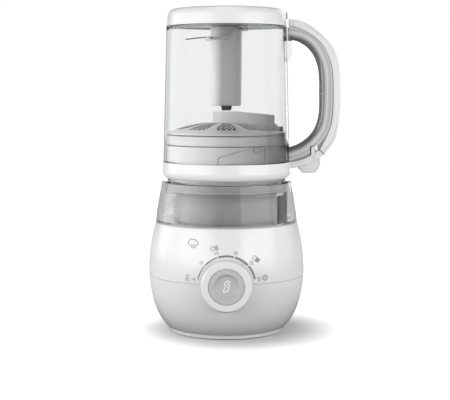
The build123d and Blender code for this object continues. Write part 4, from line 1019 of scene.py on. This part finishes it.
# Marks on the collar, as (x, z) points, and the lines round it and the strainer's rim, each with
# its name, radius, foot, height and body. All of them are dark lines of painted shade along edges.
RAMP_LINE = [(-7.6, 166.0), (-7.5, 171.6), (2.0, 175.2), (12.0, 178.1), (19.0, 179.6), (24.6, 179.7)]
BOSS_MIDDLE = (29.0, 179.2)
BOSS_REACH = (4.1, 2.7)
COLLAR_LINES = (("collar_line", 58.05, 181.9, 0.5, "jug_lid"), ("strainer_rim_line", 58.0, 191.9, 0.9, "strainer"))


def make_collar_marks(mat):
    """Dark lines of painted shade along the bayonet ramp's edge and round its oval boss, and fine lines of painted
    shade round the collar and the strainer's rim.
    """
    skin = skin_of("lid_collar")
    bm = bmesh.new()
    ribbon(bm, smooth_through(RAMP_LINE, 12), 0.75, depth=skin, lift=0.15)
    belongs_to(finish_mesh("collar_marks", bm, mat["smoke_dark"]), "jug_lid")
    (cx, cz), (wide, high) = BOSS_MIDDLE, BOSS_REACH
    turns = [math.radians(10 * k) for k in range(36)]
    bm = bmesh.new()
    boss = [(cx + wide * math.cos(turn), cz + high * math.sin(turn)) for turn in turns]
    ribbon(bm, boss, 0.6, closed=True, depth=skin, lift=0.3)
    belongs_to(finish_mesh("collar_boss", bm, mat["hole_shade"]), "jug_lid")
    for name, r, z, height, body in COLLAR_LINES:
        ring = [(r, z, 0), (r, z + height, 0), (r - 0.5, z + height, 0), (r - 0.5, z, 0)]
        belongs_to(lathe(name, rounded(ring), mat["line_grey"]), body)


# ---- tank -----------------------------------------------------------------------------------
def arc_bar(name, section_points, first, last, material, steps=12):
    """A bar of the given (radius, height) section, bent round the axis between two azimuths."""
    bm = bmesh.new()
    rings = []
    for k in range(steps + 1):
        turn = math.radians(first + (last - first) * k / steps)
        c, s = math.sin(turn), -math.cos(turn)
        rings.append([bm.verts.new((r * c, r * s, z)) for r, z in section_points])
    join_rings(bm, rings)
    return finish_mesh(name, bm, material)


def make_tank_details(mat):
    """The filling channel's curved wall inside the tank, in smoke grey darkened to paint the shade there, and the two
    beads round the tank's foot.
    """
    wall = ((58.4, 108.0), (60.0, 108.0), (60.0, 132.0), (58.9, 141.0), (57.5, 141.0), (58.4, 132.0))
    belongs_to(arc_bar("tank_baffle", wall, 91, 129, mat["smoke_dark"]), "base")
    for name, z, height in (("tank_foot_bead", 107.35, 0.75), ("tank_foot_lip", 108.6, 0.45)):
        bead = rounded([(68.6, z, 0), (69.6, z, 0.3), (69.5, z + height, 0.3), (68.6, z + height, 0)], 3)
        belongs_to(arc_bar(name, bead, -112, 112, mat["bead_grey"], 96), "base")


# ---- the whole ------------------------------------------------------------------------------
# Nodes whose finish isn't the one of their material slot.
NODE_FINISH = {
    "blade_hub": "hub_grey",
    "lever_pin": "white_plastic",
    "lid_collar": "smoke_grey",
    "strainer": "dome_grey",
    "tank_gasket": "silicone",
    "jug_seat": "seat_grey",
}


def dress_nodes(mat):
    """Every CAD node that stays gets its finish."""
    for node, piece in frame["nodes"].items():
        piece.data.materials.clear()
        piece.data.materials.append(mat[NODE_FINISH.get(node, slot_of[node])])


make_camera()
make_light()
make_stage()
materials = make_materials()
dress_nodes(materials)
make_scale(materials)
make_signs(materials)
make_knob(materials)
make_grip(materials)
make_blade("blade_low", "lower_blade", (-19.6, 0, 286.0), tilt=-0.1, length=20.2, flip=True, mat=materials)
make_blade("blade_high", "upper_blade", (19.3, 0, 295.2), tilt=-0.02, length=17.4, flip=False, mat=materials)
make_blade_band(materials)
make_spine(materials)
make_slot_hook(materials)
make_lever(materials)
make_cap_fin(materials)
make_strainer_holes(materials)
make_collar_marks(materials)
make_tank_details(materials)
